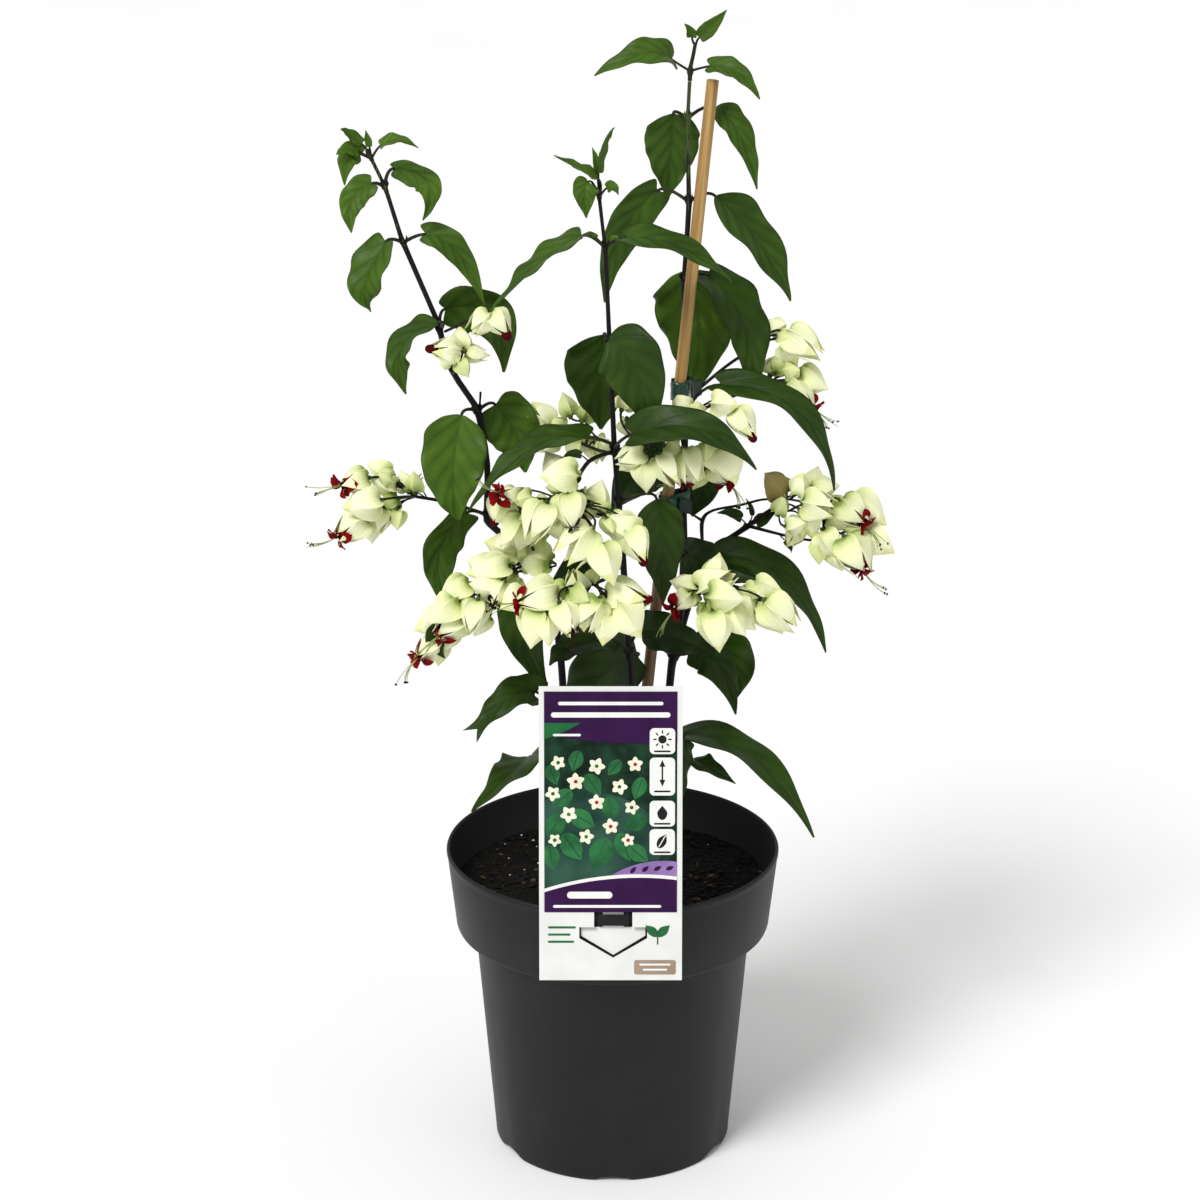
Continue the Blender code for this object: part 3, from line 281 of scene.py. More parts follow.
# %% Sweep the stems
STEMS = {
    "stem_left": [
        (-24, -10, 124, 2.4), (-24, -10, 168, 2.4), (-26, -10, 222, 2.3), (-29, -10, 286, 2.2),
        (-32, -9, 324, 2.1), (-40, -8, 358, 2.2), (-57, -5, 380, 2), (-72, -1, 393, 2.1),
        (-73, 0, 397, 2.6), (-73.4, 0, 401, 2), (-73, 0, 429, 1.9), (-77, 0, 456, 2),
        (-78.5, 0, 461, 2.7), (-80, 0, 465, 1.9), (-93, 0, 486, 1.8), (-98.5, 0, 506, 1.8),
        (-99.5, 0, 510, 2.5), (-100.5, 0, 514, 1.6), (-117.5, 0, 556, 1.6), (-119, 0, 560, 2.2),
        (-120.5, 0, 564, 1.4), (-127.5, 0, 588, 1.3), (-129, 0, 592, 1.9), (-130.5, 0, 596, 1.1),
        (-136, 0, 608, 1.1)],
    "stem_centre": [
        (13, -26, 124, 2.1), (13, -26, 168, 2.1), (12, -26, 261, 2.1), (10, -26, 316, 2.1),
        (9, -26, 322, 2.6), (8.8, -26, 328, 2), (5.8, -24.5, 378, 1.9), (3.4, -22.8, 408, 1.9),
        (3, -22.5, 413, 2.6), (2.6, -22.2, 418, 1.8), (1.2, -20.3, 439, 1.7), (0.8, -20, 444, 2.5),
        (0.4, -19.8, 449, 1.6), (-1.8, -16, 500, 1.5), (-2, -16, 505, 2.2), (-2.4, -16, 510, 1.4),
        (-4.4, -12.4, 556, 1.3), (-4.7, -12, 560, 1.9), (-5.2, -12, 564, 1.1), (-8, -10, 588, 1.1)],
    "stem_right": [
        (31, 15, 124, 2.6), (31, 15, 168, 2.6), (30.5, 14, 226, 2.6), (31, 14, 247, 2.5),
        (31.2, 14, 251, 3.2), (31.6, 14.2, 255, 2.5), (35, 17, 296, 2.5), (36.5, 18, 303, 3.2),
        (38, 19, 310, 2.4), (41, 20, 338, 2.3), (41.8, 20.8, 368, 2.2), (42, 21, 373, 3),
        (42, 21, 378, 2.1), (41, 21.4, 424, 2), (41.4, 21.6, 429, 2.7), (42, 21.8, 434, 2),
        (42.4, 22, 450, 2), (42.6, 22, 454, 2.7), (42.6, 22, 458, 1.9), (41, 23.4, 528, 1.8),
        (41, 23.4, 533, 2.5), (41.2, 23.2, 538, 1.6), (43, 20, 574, 1.6), (43, 20, 579, 2.2),
        (43, 20, 584, 1.4), (42, 20, 622, 1.3), (42, 20, 627, 2), (42.2, 20, 632, 1.1),
        (42.9, 20, 648, 1.1)],
}
SIDE_BRANCH = [(36.5, 18, 303, 2.1), (44, 26, 328, 1.9), (52, 31, 352, 1.8), (58, 30, 364, 2.3),
               (62, 29, 369, 1.7), (76, 23, 381, 1.7), (79, 22, 384, 2.4)]


def swollen(chain):
    """Where a stem is thicker than on both sides of it: its nodes."""
    return [b for a, b, c in zip(chain, chain[1:], chain[2:]) if b[3] > a[3] and b[3] > c[3]]


def scales(bm, chain):
    """Two pointed bud scales in the forks of each node."""
    for x, y, z, r in swollen(chain):
        for side in (-1, 1):
            foot = Vector((x, y, z))
            sweep(bm, [(*(foot + Vector((side * r * 0.5, 0, 0))), r * 0.5),
                       (*(foot + Vector((side * r * 0.95, -0.4, 2.2))), r * 0.42),
                       (*(foot + Vector((side * r * 0.85, -0.8, 4.6))), 0.15)], 6)


for name, chain in STEMS.items():
    bm = bmesh.new()
    sweep(bm, curve_through(chain, 3), 12)
    scales(bm, chain)
    if name == "stem_left":
        # the dry stub of a lost flower stalk
        sweep(bm, [(-77.6, -1, 461, 0.8), (-76.6, -2, 467, 0.6), (-76.2, -2.5, 473, 0.7)], 6)
    if name == "stem_right":
        sweep(bm, curve_through(SIDE_BRANCH, 3), 12)
        scales(bm, SIDE_BRANCH)
    finish_piece(name + "_skin", bm, [bark], node=name)
    print(name, len(swollen(chain)), "nodes")

# %% [markdown]
# ## Leaves
# A leaf is an ovate blade, heart-shaped at its base and drawn out to a curled tip. It bows along its
# length, its halves rise from the midrib, and its margin is gently waved. The midrib and four or
# five pairs of curved side veins are pressed into the glossy top and stand out on the duller back.
# Each blade starts as a flat grid. Its rows become stations along the midrib and its columns run out
# to the margin, so one shape serves every leaf, and only place, size and facing change.

# %% Leaf finishes
# The veins are drawn from the blade's own map: x runs across from -1 to 1, y along from 0 to 1.
VEINS = 5.0            # spacings of side veins along a blade
VEIN_RISE = 0.36       # how far a side vein runs on towards the tip by the time it meets the margin


def leaf_material(name, stops, vein, share, rough, relief, edge):
    """Leaf flesh whose colour follows each leaf's own tone, with veins and a thin margin over it."""
    mat, shader = new_material(name, Roughness=rough, Specular_IOR_Level=0.15,
                               Subsurface_Weight=0.03, Subsurface_Scale=0.001)
    uv = add(mat, "ShaderNodeUVMap", uv_map="blade").outputs[0]
    split = add(mat, "ShaderNodeSeparateXYZ", {"Vector": uv}).outputs
    off = add(mat, "ShaderNodeMath", {0: split["X"]}, operation="ABSOLUTE").outputs[0]
    bent = add(mat, "ShaderNodeMath", {0: off}, in_1=0.8, operation="POWER").outputs[0]
    # no two side veins keep quite the same course
    at = add(mat, "ShaderNodeTexCoord").outputs["Object"]
    sway = add(mat, "ShaderNodeTexNoise", {"Vector": at}, in_Scale=60.0).outputs["Fac"]
    swung = add(mat, "ShaderNodeMath", {0: sway, 2: split["Y"]}, in_1=0.09,
                operation="MULTIPLY_ADD").outputs[0]
    run = add(mat, "ShaderNodeMath", {0: bent, 2: swung}, in_1=-VEIN_RISE,
              operation="MULTIPLY_ADD").outputs[0]
    turns = add(mat, "ShaderNodeMath", {0: run}, in_1=2 * VEINS, operation="MULTIPLY").outputs[0]
    wave = add(mat, "ShaderNodeMath", {0: turns}, in_1=1.0, operation="PINGPONG").outputs[0]
    side_vein = add(mat, "ShaderNodeMapRange", {"Value": wave}, interpolation_type="SMOOTHSTEP",
                    in_From_Min=0.16, in_From_Max=0.0, in_To_Max=0.7).outputs[0]
    midrib = add(mat, "ShaderNodeMapRange", {"Value": off}, interpolation_type="SMOOTHSTEP",
                 in_From_Min=0.09, in_From_Max=0.01).outputs[0]
    veins = add(mat, "ShaderNodeMath", {0: side_vein, 1: midrib}, operation="MAXIMUM").outputs[0]
    # the net of the finest veins is about 3 mm across
    cells = add(mat, "ShaderNodeTexVoronoi", {"Vector": at}, in_Scale=300.0, feature="SMOOTH_F1")
    cloud = add(mat, "ShaderNodeTexNoise", {"Vector": at}, in_Scale=45.0, in_Detail=5.0).outputs["Fac"]
    # each leaf's tone is partly its own colour and partly painted light and shade
    tone = add(mat, "ShaderNodeAttribute", attribute_name="tone").outputs["Fac"]
    level = add(mat, "ShaderNodeMath", {0: cloud, 2: tone}, in_1=0.45, operation="MULTIPLY_ADD").outputs[0]
    # painted highlight: the flesh is painted paler half way between two side veins, where it puckers up and
    # catches the light
    pale = add(mat, "ShaderNodeMath", {0: wave, 2: level}, in_1=0.08, operation="MULTIPLY_ADD").outputs[0]
    flesh = add(mat, "ShaderNodeValToRGB", {"Fac": pale},
                stops=[(stop + 0.25, code) for stop, code in stops]).outputs["Color"]
    amount = add(mat, "ShaderNodeMath", {0: veins}, in_1=share, operation="MULTIPLY").outputs[0]
    veined = add(mat, "ShaderNodeMix", {"Factor": amount, "A": flesh}, data_type="RGBA",
                 in_7=srgb(vein)).outputs[2]
    # a margin half a millimetre wide, reddish where the leaf is old
    rim = add(mat, "ShaderNodeMapRange", {"Value": off}, in_From_Min=0.955, in_From_Max=1.0).outputs[0]
    patchy = add(mat, "ShaderNodeMath", {0: rim, 1: cloud}, operation="MULTIPLY").outputs[0]
    edged = add(mat, "ShaderNodeMix", {"Factor": patchy, "A": veined}, data_type="RGBA",
                in_7=srgb(edge)).outputs[2]
    join(mat, shader, "Base Color", edged)
    low = add(mat, "ShaderNodeMath", {0: veins, 2: cells.outputs["Distance"]}, in_1=-1.5,
              operation="MULTIPLY_ADD").outputs[0]
    bump = add(mat, "ShaderNodeBump", {"Height": low}, in_Strength=relief, in_Distance=0.0004)
    join(mat, shader, "Normal", bump.outputs[0])
    return mat


# waxy top skin, softly glossy; matt back with paler standing veins; purple-brown petiole
leaf_top = leaf_material("waxy_leaf_top", [(0.0, "#14230a"), (0.30, "#2a420c"), (0.60, "#476619"),
                                           (1.0, "#7c9c34")], "#1c300c", 0.28, 0.44, 0.25, "#241009")
leaf_back = leaf_material("matt_leaf_back", [(0.0, "#223514"), (0.35, "#3a521d"), (0.65, "#58742d"),
                                             (1.0, "#87a34c")], "#5f7f3c", 0.3, 0.6, -0.3, "#2c170d")
petiole_skin = plain_skin("petiole_skin", "#15110e", "#282a16", 0.45, 160.0)
rib_skin = plain_skin("rib_skin", "#2f4a20", "#3f5e2a", 0.5, 160.0)

# %% Blade shape
# stations along a blade: midrib place, margin place, half width, as shares of its length and width
BLADE = [(0, -0.015, 0.12), (0.05, -0.06, 0.58), (0.15, 0.06, 0.92), (0.3, 0.25, 1), (0.48, 0.45, 0.94),
         (0.66, 0.64, 0.71), (0.81, 0.8, 0.42), (0.92, 0.915, 0.19), (1, 1, 0.035)]
YOUNG_BLADE = [(0, 0, 0.14), (0.10, 0.02, 0.75), (0.32, 0.27, 1.0), (0.58, 0.55, 0.74),
               (0.82, 0.81, 0.32), (1.0, 1.0, 0.03)]
HALF = 8               # columns from midrib to margin
NARROW = 14            # mm: a blade no wider than this has fewer rows and half the columns
LEAF_WALL = 0.35       # mm
RISE = 0.22            # how much a blade's halves rise, as a share of its half width
RIPPLE = 0.06          # height of the waves in its margin, as a share of its width
SWELL = 0.6            # mm: how far the flesh puckers up between two side veins
GROOVE_DEEP = 0.5      # mm: how far the midrib is pressed in
GROOVE_WIDE = 1.3      # mm
TEAR_FROM, TEAR_RUN = 0.70, 0.30   # where a torn tip starts, and what of the blade it takes


# %% The line of a blade
def bow(a, m, b, t):
    """A bow from a to b that passes through m half way."""
    c = 2 * m - (a + b) / 2
    return a * (1 - t) ** 2 + c * 2 * t * (1 - t) + b * t ** 2


def blade_at(row, t):
    """Place, way along, way across and way up of a blade at t."""
    a, m, b, face = row
    u = min(max(t, 0.0), 1.0)
    spot = bow(a, m, b, u)
    along = (bow(a, m, b, min(u + 0.01, 1.0)) - bow(a, m, b, max(u - 0.01, 0.0))).normalized()
    if t < 0:
        spot = spot + along * t * (b - a).length
    up = (face - along * face.dot(along)).normalized()
    return spot, along, along.cross(up).normalized(), up


# %% One leaf
def shape_leaf(bm, start, base, mid, tip, width, face, tone, seed, stations=BLADE, petiole=1.0,
               skins=(0, 1, 2, 3), torn=0.0, ragged=0.0):
    """One leaf in mm: a grid bent to its place, given a wall, with its petiole and rib.

    A torn leaf has lost its tip, and ends in two points, torn of the width apart. A ragged one has
    small bites out of its far margin.
    """
    rng = random.Random(seed)
    phase, turns, curl = rng.uniform(0, 6), rng.uniform(2.2, 3.4), rng.uniform(0.7, 1.3)
    start, base, mid, tip, face = (Vector(p) for p in (start, base, mid, tip, face))
    row = (base, mid, tip, face)
    lobes = (base - start).normalized().dot(blade_at(row, 0)[1]) > 0.35
    steps, columns = (5, HALF) if width > NARROW else (3, HALF // 2)
    rows = curve_through(stations, steps)
    uv, skin = bm.loops.layers.uv["blade"], bm.verts.layers.float["tone"]
    grid = bmesh.ops.create_grid(bm, x_segments=2 * columns, y_segments=len(rows) - 1, size=1.0)["verts"]
    flat, ups = {}, {}
    for v in grid:
        x, k = v.co.x, round((v.co.y + 1) / 2 * (len(rows) - 1))
        s_mid, s_edge, w = rows[k]
        s_edge = s_edge if lobes else max(s_edge, s_mid)
        off = abs(x)
        s = s_mid + (s_edge - s_mid) * off
        if torn:
            lost = max(0.0, (s_mid - TEAR_FROM) / TEAR_RUN)
            s -= lost * (0.06 + 0.07 * (1 - off))
            w += (torn - w) * lost
        spot, _, side, up = blade_at(row, s)
        half = max(width / 2 * w, 0.2)
        beat = turns * 2 * math.pi * s_mid + phase + (2 if x > 0 else 0)
        ripple = RIPPLE * width * off ** 2.5 * math.sin(beat)
        half *= 1 + 0.02 * off * math.sin(1.6 * beat + 1)
        if x > 0:
            half *= 1 - ragged * off * (0.5 + 0.5 * math.sin(47 * s_mid)) * math.sin(math.pi * s_mid)
        vein = abs((s_mid - VEIN_RISE * off ** 0.8) * VEINS % 1.0 - 0.5) * 2
        swell = SWELL * min(1.0, half / 9) * math.sin(math.pi * min(off * 1.1, 1.0)) * (1 - vein) ** 2
        groove = -GROOVE_DEEP * math.exp(-(off * half / GROOVE_WIDE) ** 2)
        height = RISE * off ** 1.3 * half * min(1, curl) + ripple * min(1, w * 2) + swell + groove
        v.co = (spot + side * half * x + up * height) * MM
        v[skin] = tone
        flat[v], ups[v] = (x, s_mid), up
    faces = list(dict.fromkeys(f for v in grid for f in v.link_faces))
    for f in faces:
        for loop in f.loops:
            loop[uv].uv = flat[loop.vert]
    bmesh.ops.recalc_face_normals(bm, faces=faces)
    # the top is the side that the blade's faces turn to their own way up
    if sum(f.normal.dot(ups[f.verts[0]]) for f in faces) < 0:
        bmesh.ops.reverse_faces(bm, faces=faces)
    for f in faces:
        f.material_index = skins[0]
    shell = bmesh.ops.solidify(bm, geom=faces, thickness=LEAF_WALL * MM)["geom"]
    skin_verts = set(grid)
    for f in (g for g in shell if isinstance(g, bmesh.types.BMFace)):
        f.material_index = skins[0] if any(v in skin_verts for v in f.verts) else skins[1]
    petiole_and_rib(bm, start, base, row, petiole, 0.84 if torn else 0.95, skins)


def petiole_and_rib(bm, start, base, row, petiole, rib_end, skins):
    """The petiole, and the rib that it runs on into under the blade, up to rib_end of its length."""
    _, along, _, up = blade_at(row, 0.0)
    bend = base - along * (base - start).length * 0.35
    stalk = []
    for k in range(7):
        t = k / 6
        p = start * (1 - t) ** 2 + bend * 2 * t * (1 - t) + base * t ** 2 - up * 0.5 * t
        stalk.append((*p, petiole * (1.1 - 0.25 * t)))
    sweep(bm, stalk, 8, skins[2])
    rib = []
    for k in range(9):
        spot, _, _, up = blade_at(row, rib_end * k / 8)
        radius = petiole * (0.8 - 0.6 * k / 8)
        rib.append((*(spot - up * (0.6 + LEAF_WALL + radius * 0.6)), radius))
    sweep(bm, rib, 6, skins[3])


def new_leaf_mesh():
    """A bmesh that carries the blade's own map and each leaf's or flower's tone."""
    bm = bmesh.new()
    bm.loops.layers.uv.new("blade")
    bm.verts.layers.float.new("tone")
    return bm


LEAF_SKINS = [leaf_top, leaf_back, petiole_skin, rib_skin]

# %% Leaves of the left stem: node, base, middle and tip of the blade, width, facing, tone
FRONT = (0.0, -1.0, 0.3)
# a leaf's tone, here and in the other leaf tables, is partly its own colour and partly painted light and
# shade: leaves that fall in shade are given lighter tones, and some others darker ones
LEFT_LEAVES = [
    ("3a", (-129, 0, 592), (-136, -4, 595), (-147, -9, 585), (-147, -14, 569), 16, (0.2, -1, 1), 0.55),
    ("3b", (-129, 0, 592), (-123, -3, 603), (-104, -6, 595), (-107, -10, 575), 17, (0.2, -1, -0.6), 0.5),
    ("4a", (-119, 0, 560), (-129, -6, 562), (-140, -12, 540), (-137, -12, 523), 24, (0, -0.3, 1), 0.45),
    ("4b", (-119, 0, 560), (-106, -4, 566), (-88, -6, 556), (-73, -10, 526), 16, (-0.2, -1, 0.9), 0.42),
    ("5a", (-99, 0, 510), (-100, -12, 517), (-121, -12, 501), (-118, -14, 475), 22, (-0.1, -0.3, 1), 0.35),
    ("5b", (-99, 0, 510), (-96, 9, 519), (-70, 11, 514), (-63, 7, 482), 31, (0.3, -1, -0.4), 0.35),
    ("6a", (-78, 0, 461), (-87, -12, 462), (-92, -19, 430), (-89, -20, 401), 37, FRONT, 0.5),
    ("6b", (-78, 0, 461), (-68, 9, 462), (-56, 9, 443), (-51, 3, 423), 32, FRONT, 0.42),
    ("7", (-73, 0, 397), (-85, -10, 402), (-101, -12, 377), (-95, -14, 343), 24, (0.2, -1, -0.8), 0.38),
]
LOW_LEFT_LEAVES = [
    ("a", (-40, -8, 358), (-50, -11, 352), (-53, -14, 331), (-37, -14, 290), 27, FRONT, 0.28),
    ("b", (-29, -10, 286), (-45, -32, 300), (-61, -48, 302), (-86, -60, 278), 21, (-0.5, -1, 0.7), 0.15),
    ("c", (-27, -10, 250), (-49, -30, 259), (-57, -58, 262), (-81, -92, 250), 27, (-0.3, -0.5, 1), 0.2),
]
print("left stem:", len(LEFT_LEAVES) + len(LOW_LEFT_LEAVES), "leaves")

# %% Leaves of the centre stem
CENTRE_LEAVES = [
    ("3a", (-4.7, -12, 560), (-18, -20, 569), (-42, -36, 557), (-69, -46, 532), 23, (-0.1, 0, 1), 0.4),
    ("3b", (-4.7, -12, 560), (7, -20, 568), (37, -30, 565), (67, -34, 545), 21, (0.6, -0.6, 1), 0.3),
    ("4a", (-2, -16, 505), (-5.5, -6, 507.5), (-7, 3, 480), (-7, 6, 448), 42, FRONT, 0.24),
    ("4b", (-2, -16, 505), (-3, -26, 510), (13, -32, 492), (21, -34, 455), 36, FRONT, 0.22),
    ("5a", (0.8, -20, 446), (-14, -34, 456), (-48, -48, 452), (-82, -56, 419), 23, (-0.6, -0.5, 1), 0.3),
    ("5b", (0.8, -20, 444), (11, -42, 460), (48, -52, 466), (81, -50, 441), 23, (0.2, -0.8, 0.8), 0.2),
    ("6", (3, -22.5, 413), (25, -27, 416), (28, -27, 387), (29, -25, 352), 27, FRONT, 0.2),
    ("7a", (9, -26, 322), (-1, -36, 334), (-23, -46, 333), (-37, -52, 324), 25, (-0.4, -0.6, 1), 0.1),
    ("7b", (9, -26, 322), (14, -14, 316), (-11, 6, 289), (-22, 14, 257), 40, (0, -1, 0.5), 0.16),
    ("7c", (9, -26, 323), (17, -20, 334), (36, -10, 326), (58, -6, 314), 25, (0.4, -0.9, 0.7), 0.05),
]
print("centre stem:", len(CENTRE_LEAVES), "leaves")

# %% Leaves of the right stem
RIGHT_LEAVES = [
    ("3a", (42, 20, 627), (34, 28, 628), (33, 33, 605), (31, 32, 578), 31, FRONT, 0.4),
    ("3b", (42, 20, 627), (58, 32, 631), (72, 24, 617), (82, 17, 587), 17, (0.4, -1, 0.6), 0.4),
    ("4a", (43, 20, 579), (25, 26, 584), (4, 30, 556), (-5, 28, 518), 22, (0, -1, -0.1), 0.35),
    ("4b", (43, 20, 579), (59, 32, 580), (84, 20, 555), (102, 12, 523), 29, (0.4, -0.7, 1), 0.3),
    ("5a", (41, 23.4, 533), (45, 35, 536), (50, 43, 502), (48, 40, 459), 49, (-0.2, -1, 0.1), 0.52),
    ("5b", (41, 23.4, 533), (55, 28, 534), (76, 12, 508), (80, 6, 468), 32, (0, -0.2, 1), 0.25),
    ("6", (42.6, 22, 454), (62, 0, 477), (106, -18, 466), (127, -26, 421), 22, (0.9, -0.9, 1), 0.2),
    ("6b", (41.4, 21.6, 429), (54, 32, 428), (53, 35, 406), (47, 34, 386), 24, FRONT, 0.15),
    ("6c", (41.4, 21.6, 429), (31, 30, 423), (14, 33, 412), (-1, 30, 390), 30, FRONT, 0.1),
    ("7", (42, 21, 373), (43, 5, 373), (61, -7, 370), (86, -15, 363), 24, (0.1, -1, 0), 0.1),
    ("8", (58, 30, 364), (64, 10, 370), (101, 2, 358), (126, -4, 314), 24, (0.9, -1, 1), 0.15),
    ("10", (36.8, 18, 305), (45, 22, 303.5), (62, 20, 298), (74, 16, 267), 24, (0.5, -1, -0.4), 0.16),
    ("11", (36.3, 18, 301), (51, 34, 312), (72, 36, 294), (75, 32, 272), 32, (0.2, -1, -0.1), 0.34),
]
print("right stem:", len(RIGHT_LEAVES), "leaves")

# %% Make the leaves
LEAVES = {"left": LEFT_LEAVES, "low_left": LOW_LEFT_LEAVES, "centre": CENTRE_LEAVES, "right": RIGHT_LEAVES}
# two old leaves aren't whole: one has lost its tip, one has a bitten margin
WORN = {"leaf_low_left_b": {"torn": 0.52}, "leaf_right_11": {"ragged": 0.18}}
for stem, rows in LEAVES.items():
    for short, start, base, mid, tip, width, face, tone in rows:
        name = f"leaf_{stem}_{short}"
        bm = new_leaf_mesh()
        shape_leaf(bm, start, base, mid, tip, width, face, tone, name, **WORN.get(name, {}))
        finish_piece(name + "_blade", bm, LEAF_SKINS, node=name)
print(sum(map(len, LEAVES.values())), "leaves")

# %% [markdown]
# ## Growing tips
# Each stem ends in a bud with a few young, folded, yellow-green leaves, and one more young shoot
# leans out of the pot at the right. They use the leaf shape with fewer stations.

# %% Tip shoots
SHOOTS = {
    "shoot_left": ([(-135.6, 0.0, 607.1, 1.3), (-137.4, 0.0, 611.1, 1.6), (-138.5, 0.0, 613.4, 1.2)], [
        ((-136, 0, 608), (-141, -1, 617), (-148, -3, 623), (-152, -6, 627), 8, (-0.4, -0.7, 1), 0.48),
        ((-136, 0, 608), (-143, -2, 613), (-149, -6, 615), (-155, -10, 613), 10, (-0.2, -1, 0.7), 0.52),
        ((-136, 0, 608), (-142, -1, 611), (-149, -4, 609), (-151, -5, 594), 13, FRONT, 0.52),
        ((-136, 0, 608), (-131, -1, 616), (-121, -4, 620), (-109, -6, 616), 10, (0.4, -0.6, 1), 0.52),
        ((-136, 0, 608), (-137, 0, 615), (-138, 0, 620), (-139, 0, 624), 4, FRONT, 0.52),
    ]),
    "shoot_centre": ([(-7.9, -10.1, 587.0, 1.4), (-8.3, -9.7, 591.4, 1.7), (-8.4, -9.5, 593.9, 1.3)], [
        ((-8, -10, 588), (-9, -11, 600), (-19, -13, 606), (-33, -16, 614), 12, (-0.4, -0.3, 1), 0.52),
        ((-8, -10, 588), (-8, -10, 602), (-5, -11, 618), (1, -12, 628), 9, (1, -0.5, 0.1), 0.52),
        ((-8, -10, 588), (-14, -13, 598), (-16, -16, 592), (-15, -17, 578), 15, (0.2, -1, 0.2), 0.52),
        ((-8, -10, 588), (-4, -12, 594), (0, -14, 595), (3, -15, 591), 7, (0.3, -1, 0.6), 0.52),
        ((-8, -10, 588), (-9, -9, 602), (-10, -8, 610), (-12, -7, 616), 4, FRONT, 0.52),
        ((-5.5, -13, 561), (-9, -15, 566), (-14, -17, 569), (-20, -18, 567), 4, (-0.1, -0.7, 1), 0.52),
        ((-4, -13, 561), (-1, -15, 564), (1, -16, 567), (4, -17, 566), 4, (0.1, -0.7, 1), 0.52),
    ]),
    "shoot_right": ([(43, 20, 648.5, 1.3), (43.1, 20, 651, 1.3), (43.2, 20, 654, 2.0),
                     (43.5, 20, 657, 1.2), (45, 20, 664, 1.1), (46, 20, 670, 1.0)], [
        ((46, 20, 668), (44, 19, 673), (43, 18, 677), (40, 17, 681), 6, FRONT, 0.46),
        ((46, 20, 668), (48, 19, 673), (56, 17, 681), (63, 14, 689), 9, (0.5, -0.9, 0.6), 0.46),
        ((43.2, 20, 654), (33, 14, 662), (16, 4, 667), (-11, 2, 655), 20, (0, -0.8, 1), 0.46),
        ((43.2, 20, 654), (54, 15, 658), (69, 8, 656), (82, 4, 641), 13, (-0.1, -0.8, 1), 0.46),
    ]),
    "shoot_low_right": ([(31.2, 14, 251, 1.2), (38, 8, 256, 1.0)], [
        ((31.2, 14, 251), (41, 2, 260), (82, -40, 262), (115, -92, 234), 25, (0.2, -0.4, 1), 0.2),
        ((38, 8, 256), (48, 4, 244), (56, -6, 243), (73, -16, 236), 15, (0.4, -0.7, 0.9), 0.2),
        ((37, 9, 255), (43, -8, 262), (42, -14, 248), (41, -16, 222), 15, (0.9, -0.5, 0.3), 0.2),
    ]),
}
for name, (line, rows) in SHOOTS.items():
    bm = new_leaf_mesh()
    sweep(bm, curve_through(line, 3), 10, 2)
    for k, (start, base, mid, tip, width, face, tone) in enumerate(rows):
        shape_leaf(bm, start, base, mid, tip, width, face, tone, name + str(k),
                   BLADE if width > 12 else YOUNG_BLADE, 0.7)
    finish_piece(name + "_leaves", bm, LEAF_SKINS, node=name)
print(len(SHOOTS), "shoots")

# %% [markdown]
# ## The pot
# A round nursery pot is injection-moulded polypropylene, coloured all through with carbon black. The
# tool leaves a fine matt texture, the thin collar below the rim stiffens it, and six shallow arches
# in the foot let water drain. It is one profile spun round, with the arches lifted out of its foot.

# %% Pot plastic
# moulded polypropylene: charcoal, satin-matt, 0.3 mm texture; dust and water marks lighten it a little
pot_plastic, pot_shader = new_material("moulded_polypropylene", Roughness=0.46, Specular_IOR_Level=0.22)
at = add(pot_plastic, "ShaderNodeTexCoord").outputs["Object"]
texture = add(pot_plastic, "ShaderNodeTexNoise", {"Vector": at}, in_Scale=3000.0).outputs["Fac"]
marks = add(pot_plastic, "ShaderNodeTexNoise", {"Vector": at}, in_Scale=14.0, in_Detail=7.0,
            in_Roughness=0.65).outputs["Fac"]
charcoal = add(pot_plastic, "ShaderNodeValToRGB", {"Fac": marks}, stops=[
    (0.30, "#101112"), (0.55, "#161718"), (0.80, "#222223")])
join(pot_plastic, pot_shader, "Base Color", charcoal.outputs["Color"])
dull = add(pot_plastic, "ShaderNodeMapRange", {"Value": marks}, in_To_Min=0.40, in_To_Max=0.58)
join(pot_plastic, pot_shader, "Roughness", dull.outputs[0])
fine = add(pot_plastic, "ShaderNodeBump", {"Height": texture}, in_Strength=0.25, in_Distance=0.0001)
flow = add(pot_plastic, "ShaderNodeBump", {"Height": marks, "Normal": fine.outputs[0]}, in_Strength=0.12,
           in_Distance=0.001)
join(pot_plastic, pot_shader, "Normal", flow.outputs[0])

# %% Spin the pot
POT_STEPS = 168
ARCH_HALF, ARCH_TALL = 11.0, 4.0       # mm: half the width and the height of each foot arch
PROFILE = [(0.01, 6.5), (40, 6.5), (67.6, 6.5), (68.8, 7.6), (80.7, 136.5), (81.2, 139.6), (82.6, 141.8),
           (90.8, 142.4), (92.2, 143.6), (97.9, 188.6), (98.3, 189.7), (98.9, 190.0), (99.6, 189.7),
           (100.0, 188.6), (99.9, 186.9), (99.4, 185.9), (99.3, 184.0), (94.6, 142.6), (94.0, 141.0),
           (92.6, 140.2), (84.6, 139.7), (83.5, 139.0), (83.2, 137.6), (71.9, 4.2), (71.8, 1.6),
           (71.2, 0.4), (70.4, 0.0), (68.6, 0.0), (68.1, 0.5), (67.6, 4.2), (18.8, 4.2), (18.0, 0.0),
           (0.01, 0.0)]
bm = bmesh.new()
line = [bm.verts.new((r * MM, 0, z * MM)) for r, z in PROFILE]
edges = [bm.edges.new(pair) for pair in zip(line, line[1:])]
bmesh.ops.spin(bm, geom=line + edges, cent=(0, 0, 0), axis=(0, 0, 1), angle=2 * math.pi,
               steps=POT_STEPS, use_merge=True)
bmesh.ops.remove_doubles(bm, verts=bm.verts, dist=0.02 * MM)
